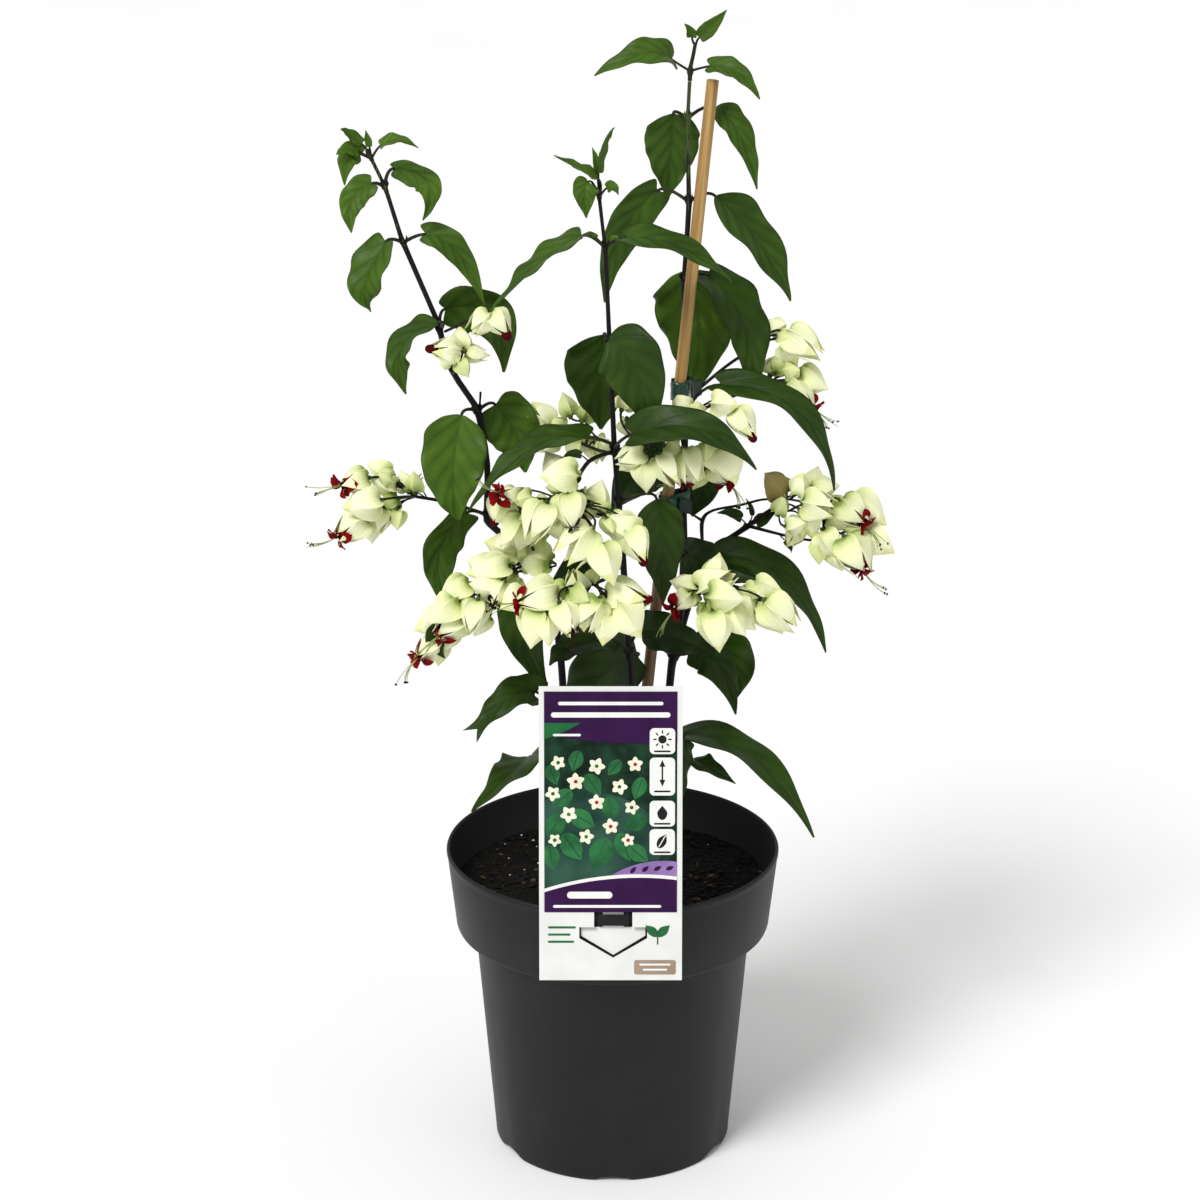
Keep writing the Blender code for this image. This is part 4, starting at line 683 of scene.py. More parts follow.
for v in bm.verts:
    r = math.hypot(v.co.x, v.co.y) / MM
    if r > 66 and v.co.z < 5.0 * MM:
        a = (math.degrees(math.atan2(v.co.y, v.co.x)) + 90 + 30) % 60 - 30
        across = math.radians(a) * r
        if abs(across) < ARCH_HALF:
            lift = ARCH_TALL * math.sqrt(1 - (across / ARCH_HALF) ** 2)
            v.co.z = max(v.co.z, min(lift, 4.1) * MM)
bmesh.ops.recalc_face_normals(bm, faces=bm.faces)
# the loop on the collar that the card's tongue hooks behind
BAR_W, BAR_TALL, BAR_Z = 18.0, 6.5, 186.5
for size, centre in (((BAR_W, 2.0, BAR_TALL), (0, -102.5, BAR_Z)),
                     ((2.2, 4.6, BAR_TALL), (-7.9, -100.4, BAR_Z)),
                     ((2.2, 4.6, BAR_TALL), (7.9, -100.4, BAR_Z))):
    bar = bmesh.ops.create_cube(bm, size=1.0)["verts"]
    bmesh.ops.scale(bm, vec=Vector(size) * MM, verts=bar)
    bmesh.ops.translate(bm, vec=Vector(centre) * MM, verts=bar)
    rim = list(dict.fromkeys(e for v in bar for e in v.link_edges))
    bmesh.ops.bevel(bm, geom=rim, offset=0.35 * MM, segments=2, profile=0.5, affect="EDGES", material=-1)
pot = finish_piece("pot_moulding", bm, [pot_plastic], node="pot")
pot.data.set_sharp_from_angle(angle=math.radians(50))
print("pot faces:", len(pot.data.polygons))

# %% [markdown]
# ## Potting mix
# Composted bark: nearly black when damp, lumpy, with tan chips of bark and a few white grains of
# perlite on its surface. A round lumpy bed carries several hundred loose chips and grains.

# %% Mix and chips
# composted bark: matt, dark brown crumbs 1 to 4 mm across
mix, mix_shader = new_material("composted_bark", Roughness=0.85, Specular_IOR_Level=0.15)
at = add(mix, "ShaderNodeTexCoord").outputs["Object"]
lumps = add(mix, "ShaderNodeTexVoronoi", {"Vector": at}, in_Scale=330.0).outputs["Distance"]
patches = add(mix, "ShaderNodeTexNoise", {"Vector": at}, in_Scale=130.0, in_Detail=6.0).outputs["Fac"]
humus = add(mix, "ShaderNodeValToRGB", {"Fac": patches}, stops=[
    (0.30, "#040303"), (0.50, "#090705"), (0.66, "#130e0a"), (0.82, "#2b2118")])
join(mix, mix_shader, "Base Color", humus.outputs["Color"])
lumpy = add(mix, "ShaderNodeMath", {0: patches, 1: lumps}, operation="SUBTRACT").outputs[0]
bump = add(mix, "ShaderNodeBump", {"Height": lumpy}, in_Strength=0.9, in_Distance=0.002)
join(mix, mix_shader, "Normal", bump.outputs[0])
chip_light = plain_skin("bark_chip_tan", "#2c2218", "#57472f", 0.8, 400.0)
chip_dark = plain_skin("bark_chip_dark", "#050404", "#130e0b", 0.8, 400.0)
perlite = plain_skin("perlite_grain", "#a9a79f", "#d4d2c8", 0.8, 700.0)

# %% Lay the bed
SOIL_Z = 165.0         # mm: height of the mix
BED_R = 94.4           # mm
BED_FOOT = 148.0       # height at which the bed's skirt ends, inside the pot
bm = bmesh.new()
bed = bmesh.ops.create_grid(bm, x_segments=110, y_segments=110, size=1.0)["verts"]
rim = [e for e in bm.edges if e.is_boundary]


def bed_height(x, y):
    """Height of the lumpy surface in mm."""
    p = Vector((x, y, 0))
    coarse, small = noise.noise(p * 0.06), noise.noise(p * 0.35 + Vector((9, 0, 0)))
    return SOIL_Z - 0.6 + 1.6 * coarse + 0.9 * small


for v in bed:
    x, y = v.co.x * math.sqrt(1 - v.co.y ** 2 / 2), v.co.y * math.sqrt(1 - v.co.x ** 2 / 2)
    x, y = x * BED_R, y * BED_R
    v.co = Vector((x, y, bed_height(x, y))) * MM
skirt = bmesh.ops.extrude_edge_only(bm, edges=rim)["geom"]
low = [g for g in skirt if isinstance(g, bmesh.types.BMVert)]
bmesh.ops.scale(bm, vec=(0.98, 0.98, 1), verts=low)
for v in low:
    v.co.z = BED_FOOT * MM
bmesh.ops.contextual_create(bm, geom=[g for g in skirt if isinstance(g, bmesh.types.BMEdge)
                                      and all(v in low for v in g.verts)])
bmesh.ops.recalc_face_normals(bm, faces=bm.faces)


def crumb(name, mat):
    """A lump 1 mm in radius, of one of the four materials of the mix."""
    piece = bmesh.new()
    bmesh.ops.create_icosphere(piece, subdivisions=1, radius=1.0 * MM)
    rng = random.Random(name)
    for v in piece.verts:
        v.co *= rng.uniform(0.75, 1.2)
    for f in piece.faces:
        f.material_index = mat
    return make_mesh(name, piece)


def put_copy(bm, mesh, matrix):
    """Add a copy of a made shape, put in place by a matrix, and give back its vertices."""
    first = len(bm.verts)
    bm.from_mesh(mesh)
    bm.verts.ensure_lookup_table()
    fresh = bm.verts[first:]
    bmesh.ops.transform(bm, matrix=matrix, verts=fresh)
    return fresh


# %% Strew the chips and grains
CHIP_R = 92.0          # mm: they lie no farther out than this
crumbs = {1: [crumb(f"tan_{i}", 1) for i in range(3)], 2: [crumb(f"dark_{i}", 2) for i in range(3)],
          3: [crumb("grain", 3)]}
# kind, how many, smallest and largest radius in mm, and how flat
STREWN = ((2, 900, 0.9, 3.2, 0.5), (1, 150, 0.8, 3.4, 0.35), (3, 30, 0.5, 1.2, 0.9))
rng = random.Random(7)
for kind, count, small, large, flat in STREWN:
    for _ in range(count):
        r, a = CHIP_R * math.sqrt(rng.random()), rng.uniform(0, 2 * math.pi)
        x, y = r * math.cos(a), r * math.sin(a)
        size = small + (large - small) * rng.random() ** 2
        turn = Matrix.Rotation(rng.uniform(0, 6.28), 4, "Z") @ Matrix.Rotation(rng.uniform(-0.5, 0.5), 4, "X")
        form = Matrix.Diagonal((size, size * rng.uniform(0.45, 0.9), size * flat, 1))
        rest = Matrix.Translation(Vector((x, y, bed_height(x, y) + size * 0.2)) * MM)
        put_copy(bm, rng.choice(crumbs[kind]), rest @ (turn @ form))
soil = finish_piece("potting_mix", bm, [mix, chip_light, chip_dark, perlite], node="soil",
                    smooth=False)
print("potting mix faces:", len(soil.data.polygons))

# %% [markdown]
# ## Stake and ties
# The stake is a split and turned bamboo dowel, 7 mm thick, pale tan with fine lengthwise fibres and
# a square-cut end. Two short bands of green PVC tape hold the right stem to it.

# %% Bamboo stake
# turned bamboo: fibres 0.3 to 0.8 mm apart along the rod, a soft sheen
STAKE_TOP, STAKE_LOW, STAKE_R = Vector((56, 20, 649)), Vector((8.7, 6.5, 165)), 3.5
STAKE_IN = 41          # mm of it stand in the mix
stake_way = (STAKE_TOP - STAKE_LOW).normalized()
lean = stake_way.to_track_quat("Z", "Y")
bamboo, bamboo_shader = new_material("turned_bamboo", Roughness=0.5)
at = add(bamboo, "ShaderNodeTexCoord").outputs["Object"]
upright = add(bamboo, "ShaderNodeMapping", {"Vector": at}, vector_type="TEXTURE",
              in_Rotation=lean.to_euler()).outputs[0]
long_grain = add(bamboo, "ShaderNodeMapping", {"Vector": upright}, in_Scale=(1800, 1800, 18)).outputs[0]
fibre = add(bamboo, "ShaderNodeTexNoise", {"Vector": long_grain}, in_Scale=1.0, in_Detail=4.0).outputs["Fac"]
broad = add(bamboo, "ShaderNodeMapping", {"Vector": upright}, in_Scale=(260, 260, 9)).outputs[0]
shade = add(bamboo, "ShaderNodeTexNoise", {"Vector": broad}, in_Scale=1.0, in_Detail=3.0).outputs["Fac"]
both = add(bamboo, "ShaderNodeMath", {0: fibre, 2: shade}, in_1=0.6, operation="MULTIPLY_ADD").outputs[0]
fresh = add(bamboo, "ShaderNodeValToRGB", {"Fac": both}, stops=[
    (0.50, "#6f4f27"), (0.68, "#94703c"), (0.88, "#a98549"), (1.0, "#b99a60")]).outputs["Color"]
# painted shade: the stake is painted darker brown from 0.46 m down, fully from 0.36 m, where it stands in the
# shade of the plant
height = add(bamboo, "ShaderNodeSeparateXYZ", {"Vector": at}).outputs["Z"]
painted_shade = add(bamboo, "ShaderNodeMapRange", {"Value": height}, interpolation_type="SMOOTHSTEP",
           in_From_Min=0.46, in_From_Max=0.36, in_To_Max=0.75).outputs[0]
shaded_bamboo = add(bamboo, "ShaderNodeMix", {"Factor": painted_shade, "A": fresh}, data_type="RGBA",
              in_7=srgb("#4a3524")).outputs[2]
join(bamboo, bamboo_shader, "Base Color", shaded_bamboo)
bump = add(bamboo, "ShaderNodeBump", {"Height": fibre}, in_Strength=0.4, in_Distance=0.0002)
join(bamboo, bamboo_shader, "Normal", bump.outputs[0])

# %% Make the stake
bm = bmesh.new()
foot = STAKE_LOW - stake_way * STAKE_IN
bmesh.ops.create_cone(bm, cap_ends=True, segments=32, radius1=STAKE_R * MM, radius2=STAKE_R * MM,
                      depth=(STAKE_TOP - foot).length * MM)
rims = [e for e in bm.edges if any(len(f.verts) > 4 for f in e.link_faces)]
bmesh.ops.bevel(bm, geom=rims, offset=0.35 * MM, segments=2, profile=0.5, affect="EDGES", material=-1)
bmesh.ops.transform(bm, matrix=Matrix.Translation((STAKE_TOP + foot) / 2 * MM) @ lean.to_matrix().to_4x4(),
                    verts=bm.verts)
stake = finish_piece("stake_rod", bm, [bamboo], node="stake")
stake.data.set_sharp_from_angle(angle=math.radians(40))
print("stake leans", round(math.degrees(stake_way.angle(Vector((0, 0, 1)))), 1), "degrees")

# %% Tape ties
# plasticised PVC tape: deep green, smooth and a little glossy
tape, tape_shader = new_material("pvc_garden_tape", Roughness=0.28, IOR=1.53)
at = add(tape, "ShaderNodeTexCoord").outputs["Object"]
tint = add(tape, "ShaderNodeTexNoise", {"Vector": at}, in_Scale=90.0).outputs["Fac"]
green = add(tape, "ShaderNodeValToRGB", {"Fac": tint}, stops=[(0.3, "#0d3626"), (0.7, "#144a35")])
join(tape, tape_shader, "Base Color", green.outputs["Color"])
bump = add(tape, "ShaderNodeBump", {"Height": tint}, in_Strength=0.2, in_Distance=0.0005)
join(tape, tape_shader, "Normal", bump.outputs[0])


def on_chain(chain, z):
    """The middle of a stem at height z, and its radius there."""
    for a, b in zip(chain, chain[1:]):
        if a[2] <= z <= b[2]:
            return Vector(a[:3]).lerp(Vector(b[:3]), (z - a[2]) / (b[2] - a[2])), max(a[3], b[3])


# %% Wrap the ties
TAPE_TALL, TAPE_THICK, FLAP_THICK = 11.0, 0.7, 0.5   # mm
BAND_ROWS = 4
# name and height of each tie, and its free end beside the stake: length, drop and half height
TIES = (("tie_upper", 470.0, 12, -1.5, 5.2), ("tie_lower", 401.0, 9, -3.0, 4.8))
for name, z, long, drop, half in TIES:
    a = STAKE_LOW.lerp(STAKE_TOP, (z - STAKE_LOW.z) / (STAKE_TOP.z - STAKE_LOW.z))
    b, stem_r = on_chain(STEMS["stem_right"], z)
    across = Vector((b.x - a.x, b.y - a.y, 0))
    gap, turn = across.length, Matrix.Rotation(math.atan2(across.y, across.x), 4, "Z")
    # the band: a circle drawn out round the stake and the stem, then raised
    bm = bmesh.new()
    loop = bmesh.ops.create_circle(bm, segments=40, radius=1.0)["verts"]
    for v in loop:
        far = v.co.x > 0
        r = (stem_r if far else STAKE_R) + 1.7
        v.co = Vector((v.co.x * r + (gap if far else 0), v.co.y * r, -TAPE_TALL / 2)) * MM
    edges = list(bm.edges)
    for _ in range(BAND_ROWS):
        grown = bmesh.ops.extrude_edge_only(bm, edges=edges)["geom"]
        verts = [g for g in grown if isinstance(g, bmesh.types.BMVert)]
        edges = [g for g in grown if isinstance(g, bmesh.types.BMEdge) and all(v in verts for v in g.verts)]
        bmesh.ops.translate(bm, vec=(0, 0, TAPE_TALL / BAND_ROWS * MM), verts=verts)
    for v in bm.verts:
        v.co.y += 0.35 * MM * math.sin(v.co.z / MM * 1.3 + v.co.x / MM)
        v.co.z += 0.8 * MM * math.sin(v.co.x / MM * 0.5)
    bmesh.ops.recalc_face_normals(bm, faces=bm.faces)
    bmesh.ops.solidify(bm, geom=bm.faces[:], thickness=TAPE_THICK * MM)
    # the free end: a strip that lies on the band and folds away from it
    flap = bmesh.ops.create_grid(bm, x_segments=16, y_segments=4, size=1.0)["verts"]
    for v in flap:
        t = (v.co.x + 1) / 2
        fold = 1.2 * math.exp(-(9 * t - 0.9) ** 2) + 1.6 * t * t
        v.co = Vector((gap * 0.3 + long * t, -(STAKE_R + 2.2) - fold,
                       drop * t + v.co.y * (half - 0.6 * t))) * MM
    strip = list(dict.fromkeys(f for v in flap for f in v.link_faces))
    bmesh.ops.solidify(bm, geom=strip, thickness=FLAP_THICK * MM)
    bmesh.ops.transform(bm, matrix=Matrix.Translation(Vector((a.x, a.y, z)) * MM) @ turn, verts=bm.verts)
    finish_piece(name + "_tape", bm, [tape], node=name)
print("ties made")

# %% [markdown]
# ## Flowers
# What reads as a white flower is the calyx: five papery sepals joined into an inflated, five-angled
# lantern, heart-shaped on each face and pointed at the tip. It opens at the mouth, and a crimson
# corolla with five lobes hangs out of it on a thin tube, with long pale stamens tipped black. Old
# corollas dry to dark threads. A sepal is a grid bent round the flower's axis, and five of them,
# turned by 72 degrees, close into a lantern. A few lanterns and corollas are made once in several
# forms, and each flower of a cluster is a turned and scaled copy of one.

# %% Flower finishes
def petal_material(name, stops, rough, line, share, glow, shine=0.15):
    """Thin petal: colour runs from foot to tip, with fine lengthwise veins about 1 mm apart."""
    mat, shader = new_material(name, Roughness=rough, Specular_IOR_Level=shine,
                               Subsurface_Weight=glow, Subsurface_Scale=0.003)
    shader.inputs["Subsurface Radius"].default_value = (1.0, 0.9, 0.5)
    uv = add(mat, "ShaderNodeUVMap", uv_map="blade").outputs[0]
    split = add(mat, "ShaderNodeSeparateXYZ", {"Vector": uv}).outputs
    at = add(mat, "ShaderNodeTexCoord").outputs["Object"]
    cloud = add(mat, "ShaderNodeTexNoise", {"Vector": at}, in_Scale=90.0, in_Detail=3.0).outputs["Fac"]
    tone = add(mat, "ShaderNodeAttribute", attribute_name="tone").outputs["Fac"]
    shift = add(mat, "ShaderNodeMath", {0: cloud, 2: tone}, in_1=0.3, operation="MULTIPLY_ADD").outputs[0]
    level = add(mat, "ShaderNodeMath", {0: split["Y"], 1: shift}, operation="ADD").outputs[0]
    flesh = add(mat, "ShaderNodeValToRGB", {"Fac": level},
                stops=[(stop + 0.15, code) for stop, code in stops]).outputs["Color"]
    fan = add(mat, "ShaderNodeMath", {0: split["X"]}, in_1=5.0, operation="MULTIPLY").outputs[0]
    wave = add(mat, "ShaderNodeMath", {0: fan}, in_1=1.0, operation="PINGPONG").outputs[0]
    veins = add(mat, "ShaderNodeMapRange", {"Value": wave}, in_From_Min=0.25, in_From_Max=0.0,
                interpolation_type="SMOOTHSTEP").outputs[0]
    amount = add(mat, "ShaderNodeMath", {0: veins}, in_1=share, operation="MULTIPLY").outputs[0]
    mixed = add(mat, "ShaderNodeMix", {"Factor": amount, "A": flesh}, data_type="RGBA",
                in_7=srgb(line)).outputs[2]
    join(mat, shader, "Base Color", mixed)
    crease = add(mat, "ShaderNodeMath", {0: cloud, 2: wave}, in_1=4.0, operation="MULTIPLY_ADD").outputs[0]
    bump = add(mat, "ShaderNodeBump", {"Height": crease}, in_Strength=0.22, in_Distance=0.0004)
    join(mat, shader, "Normal", bump.outputs[0])
    return mat


# papery calyx: green at the foot, cream over the face; velvety corolla; dry corolla
calyx_paper = petal_material("papery_calyx", [(0.0, "#8a9d4e"), (0.08, "#c0cc86"), (0.24, "#e0e5ac"),
                                              (0.50, "#eaeec0"), (0.82, "#f0f1cd"), (1.0, "#e4e6a6")],
                              0.6, "#cdd598", 0.30, 0.06)
calyx_young = petal_material("young_calyx", [(0.0, "#6f8638"), (0.12, "#a4b566"), (0.45, "#cdd694"),
                                             (1.0, "#dde2a6")], 0.6, "#a9b96c", 0.4, 0.10)
calyx_old = petal_material("dried_calyx", [(0.0, "#4d4a24"), (0.4, "#7d7340"), (1.0, "#8d8050")],
                           0.7, "#57482a", 0.5, 0.03)
corolla_velvet = petal_material("velvet_corolla", [(0.0, "#3a040a"), (0.4, "#6e060d"), (1.0, "#88080f")],
                                0.75, "#52050b", 0.45, 0.0, 0.06)
corolla_dry = petal_material("dried_corolla", [(0.0, "#3a1512"), (0.5, "#241010"), (1.0, "#160b0c")],
                             0.7, "#120809", 0.4, 0.0)
stalk_dark = plain_skin("peduncle_skin", "#100c0b", "#1f1c12", 0.5, 220.0)
stalk_green = plain_skin("receptacle_skin", "#2c3a16", "#4d6226", 0.5, 260.0)
filament_skin = plain_skin("filament_skin", "#7f9048", "#aab57c", 0.45, 120.0)
anther_skin = plain_skin("anther_skin", "#17120f", "#2a211b", 0.7, 500.0)
FLOWER_SKINS = [calyx_paper, calyx_young, calyx_old, corolla_velvet, corolla_dry,
                stalk_dark, stalk_green, filament_skin, anther_skin, leaf_top]
PAPER, YOUNG, OLD, RED, DRY, DARK, GREEN, THREAD, ANTHER, BRACT = range(10)


# %% One petal
def petal(bm, shape, columns, rows, mat, turn, tone=0.0, wall=0.0):
    """A grid turned into one petal; shape(x, s) gives its point in mm before the turn round Z."""
    uv, skin = bm.loops.layers.uv["blade"], bm.verts.layers.float["tone"]
    grid = bmesh.ops.create_grid(bm, x_segments=columns, y_segments=rows, size=1.0)["verts"]
    flat = {v: (v.co.x, (v.co.y + 1) / 2) for v in grid}
    spin = Matrix.Rotation(turn, 3, "Z")
    for v in grid:
        v.co = spin @ (Vector(shape(*flat[v])) * MM)
        v[skin] = tone
    faces = list(dict.fromkeys(f for v in grid for f in v.link_faces))
    for f in faces:
        f.material_index = mat
        for loop in f.loops:
            loop[uv].uv = flat[loop.vert]
    if wall:
        bmesh.ops.recalc_face_normals(bm, faces=faces)
        bmesh.ops.solidify(bm, geom=faces, thickness=wall * MM)


def ease(x):
    """A smooth step from 0 to 1."""
    x = min(max(x, 0.0), 1.0)
    return x * x * (3 - 2 * x)


# %% Lanterns
LANTERN_LONG = 20.0    # mm
HALF_SEPAL = math.radians(36)
# side view of a calyx whose length is 1: (way along a sepal, distance from the axis, height)
SEAM = [(0.0, 0.05, 0.00), (0.10, 0.26, -0.04), (0.22, 0.43, 0.05), (0.36, 0.50, 0.20),
        (0.55, 0.44, 0.45), (0.74, 0.29, 0.69), (0.89, 0.12, 0.88), (1.0, 0.0, 1.04)]
KEEL = [(0.0, 0.05, 0.00), (0.10, 0.15, 0.04), (0.22, 0.27, 0.13), (0.36, 0.345, 0.28),
        (0.55, 0.335, 0.50), (0.74, 0.240, 0.72), (0.89, 0.100, 0.89), (1.0, 0.0, 1.04)]


def along_side(line, s):
    """Distance from the axis and height at s on a side view."""
    for a, b in zip(line, line[1:]):
        if s <= b[0]:
            t = (s - a[0]) / (b[0] - a[0])
            return a[1] + (b[1] - a[1]) * t, a[2] + (b[2] - a[2]) * t
    return line[-1][1:]


def lantern(name, opening, mat, seed):
    """A calyx with its foot at the origin and its tip up the Z axis; its sepals part by opening."""
    rng = random.Random(seed)
    bm = new_leaf_mesh()
    long = LANTERN_LONG
    for k in range(5):
        part = opening * rng.uniform(0.5, 1.5)
        skew, tall = rng.uniform(-1.2, 1.2), rng.uniform(0.94, 1.04)

        def face(x, s, part=part, skew=skew, tall=tall):
            """A sepal lies between its seams and its keel, and swings out as it parts."""
            off = abs(x)
            seam, keel = along_side(SEAM, s), along_side(KEEL, s)
            wing = 0.45 * off ** 2 + 0.55 * off ** 7
            depth = keel[0] + (seam[0] * math.cos(HALF_SEPAL) - keel[0]) * wing
            half = seam[0] * math.sin(HALF_SEPAL)
            z = keel[1] + (seam[1] - keel[1]) * off ** 2
            apart = ease((s - 0.42) / 0.58)
            if part:
                depth += part * 0.34 * apart + part * 0.16 * max(s - 0.85, 0) / 0.15
                half = half * (1 - 0.12 * part * apart)
                z -= 0.05 * part * apart
                half += 0.004
            swing = skew * ease((s - 0.6) / 0.4) * min(part, 1)
            return long * depth, long * half * x + swing, long * z * (tall if part else 1)

        petal(bm, face, 8, 10, mat, k * 2 * math.pi / 5, tone=rng.uniform(-0.08, 0.08),
              wall=0.3 if opening else 0.0)
    bmesh.ops.remove_doubles(bm, verts=bm.verts, dist=0.03 * MM)
    # no lantern is quite straight or round: its tip leans and its sides are pressed in a little
    lean, press = rng.uniform(-1.6, 1.6), rng.uniform(0.88, 1.0)
    for v in bm.verts:
        rise = max(v.co.z / MM / long, 0.0)
        v.co.x += lean * rise ** 3 * MM
        v.co.y *= press
    if not opening:
        bmesh.ops.recalc_face_normals(bm, faces=bm.faces)
        bmesh.ops.holes_fill(bm, edges=[e for e in bm.edges if e.is_boundary])
        for e in bm.edges:
            e.smooth = e.calc_face_angle(0.0) < math.radians(26)
    return make_mesh(name, bm)


# %% Corollas and buds
def corolla(name, kind, seed):
    """Short tube, five broad lobes, four stamens and a style; the mouth of the lantern is Z = 0."""
    rng = random.Random(seed)
    bm = new_leaf_mesh()
    red = kind == "r"
    skin = RED if red else DRY
    sweep(bm, [(0, 0, -9, 0.8), (0, 0, -2, 1.0), (0, 0, 1.0, 1.4), (0, 0, 2.0, 1.9)], 8, skin)
    size = 0.92 if red else 0.55
    for k in range(5):
        # the lobes fan out unevenly, two of them bent far back over the lantern
        lean = (0.55, 1.75, 1.05, 2.1, 0.8)[k] + rng.uniform(-0.2, 0.2)
        curl, side = rng.uniform(0.4, 1.2), rng.uniform(-0.25, 0.25)

        def lobe(x, s, lean=lean, curl=curl, side=side):
            """A lobe leaves the tube at an angle, curls back and is cupped and frilled."""
            run = 8.8 * s * size
            half = (1.5 * (1 - s) + 3.9 * math.sin(math.pi * s ** 1.25) ** 0.5) * size
            out = 1.2 + run * math.sin(lean)
            cup = 1.6 * x * x * math.sin(math.pi * min(s * 1.1, 1.0)) * size
            rise = 1.2 + run * math.cos(lean) - curl * s * s * 3.0 * size + cup
            frill = 0.35 * math.sin(5 * x + 7 * s + 3 * curl) * s * size
            return out, half * x + side * run, rise + frill

        petal(bm, lobe, 6, 6, skin, k * 2 * math.pi / 5, tone=rng.uniform(-0.12, 0.12), wall=0.25)
    threads = 4 if red else 2
    sweep_way = rng.uniform(0, 2 * math.pi)
    for k in range(threads + 1):
        a = sweep_way + rng.uniform(-0.7, 0.7)
        long = rng.uniform(17, 23) if red else rng.uniform(8, 13)
        side = Vector((math.cos(a), math.sin(a), 0))
        spread = rng.uniform(0.6, 1.5)
        line = []
        for i in range(8):
            t = i / 7
            p = side * (0.4 + 5.0 * spread * t * t) + Vector((0, 0, 1 + long * t - 2.5 * t ** 3))
            line.append((*p, 0.30 - 0.10 * t))
        sweep(bm, line, 5, THREAD if red else DRY)
        if k < threads:
            tip, back = Vector(line[-1][:3]), Vector(line[-2][:3])
            way = (tip - back).normalized()
            across = way.orthogonal().normalized()
            sweep(bm, [(*(tip - across * 0.8), 0.25), (*(tip - across * 0.4), 0.55),
                       (*(tip + across * 0.4), 0.55), (*(tip + across * 0.9), 0.2)], 6,
                  ANTHER if red else DRY)
    return make_mesh(name, bm)


def bud(name, seed):
    """An unopened corolla: a crimson globe on its tube, just out of the lantern's mouth."""
    rng = random.Random(seed)
    bm = new_leaf_mesh()
    r = rng.uniform(2.5, 3.0)
    sweep(bm, [(0, 0, -3, 0.9), (0, 0, -0.6, 0.45 * r), (0.1, 0, 1.0, 0.9 * r), (0.2, 0.1, 2.6, r),
               (0.3, 0.1, 4.4, 0.86 * r), (0.3, 0.2, 5.6, 0.5 * r), (0.3, 0.2, 6.0, 0.1)], 14, RED)
    return make_mesh(name, bm)


# %% The forms that the clusters use
LANTERNS = {
    "c": [lantern(f"closed_{i}", 0, PAPER, i) for i in range(3)],
    "y": [lantern(f"young_{i}", 0, YOUNG, 10 + i) for i in range(2)],
    "b": [lantern("brown", 0, OLD, 20)],
    "a": [lantern(f"ajar_{i}", 0.16 + 0.08 * i, PAPER, 60 + i) for i in range(3)],
    "o": [lantern(f"open_{i}", 0.22 + 0.15 * i, PAPER, 30 + i) for i in range(4)],
}
COROLLAS = {"r": [corolla(f"red_{i}", "r", 40 + i) for i in range(4)],
            "w": [corolla(f"dry_{i}", "w", 50 + i) for i in range(2)],
            "d": [bud(f"bud_{i}", 70 + i) for i in range(2)]}
print("lantern faces:", {k: len(m[0].polygons) for k, m in LANTERNS.items()},
      "corolla faces:", len(COROLLAS["r"][0].polygons))


# %% [markdown]
# ## Clusters
# A cluster is a loose forked head at the end of a thin dark peduncle that leaves a leaf's fork.
# Each flower hangs on its own pedicel, dark at first and green near the lantern. Most flowers stand
# where the plain clusters have theirs, more of them fill the hearts of the large clusters, and small
# young lanterns stand close to the peduncles.

# %% Pedicels and a roll of old stamens
def pedicel(bm, hub, foot, way):
    """A stalk that leaves the peduncle, sags a little and meets the lantern along its axis."""
    reach = (foot - hub).length
    bend = foot - way * reach * 0.45
    line = []
    for k in range(7):
        t = k / 6
        p = hub * (1 - t) ** 2 + bend * 2 * t * (1 - t) + foot * t ** 2
        line.append((*p, 0.55 + 0.25 * t * t))
    sweep(bm, line, 6, DARK)
    receptacle = [(*(foot - way * 2.2), 0.9), (*(foot - way * 0.8), 1.5), (*(foot + way * 0.6), 1.7)]
    sweep(bm, receptacle, 8, GREEN)


def stamen_roll():
    """Old stamens rolled up like a watch spring: a coil that widens as it turns."""
    coil = []
    for k in range(30):
        r, a = 1.5 + 0.09 * k, 0.55 * k
        coil.append((-97 + r * math.cos(a), -66 + 0.06 * k, 347 + r * math.sin(a), 0.28))
    return coil


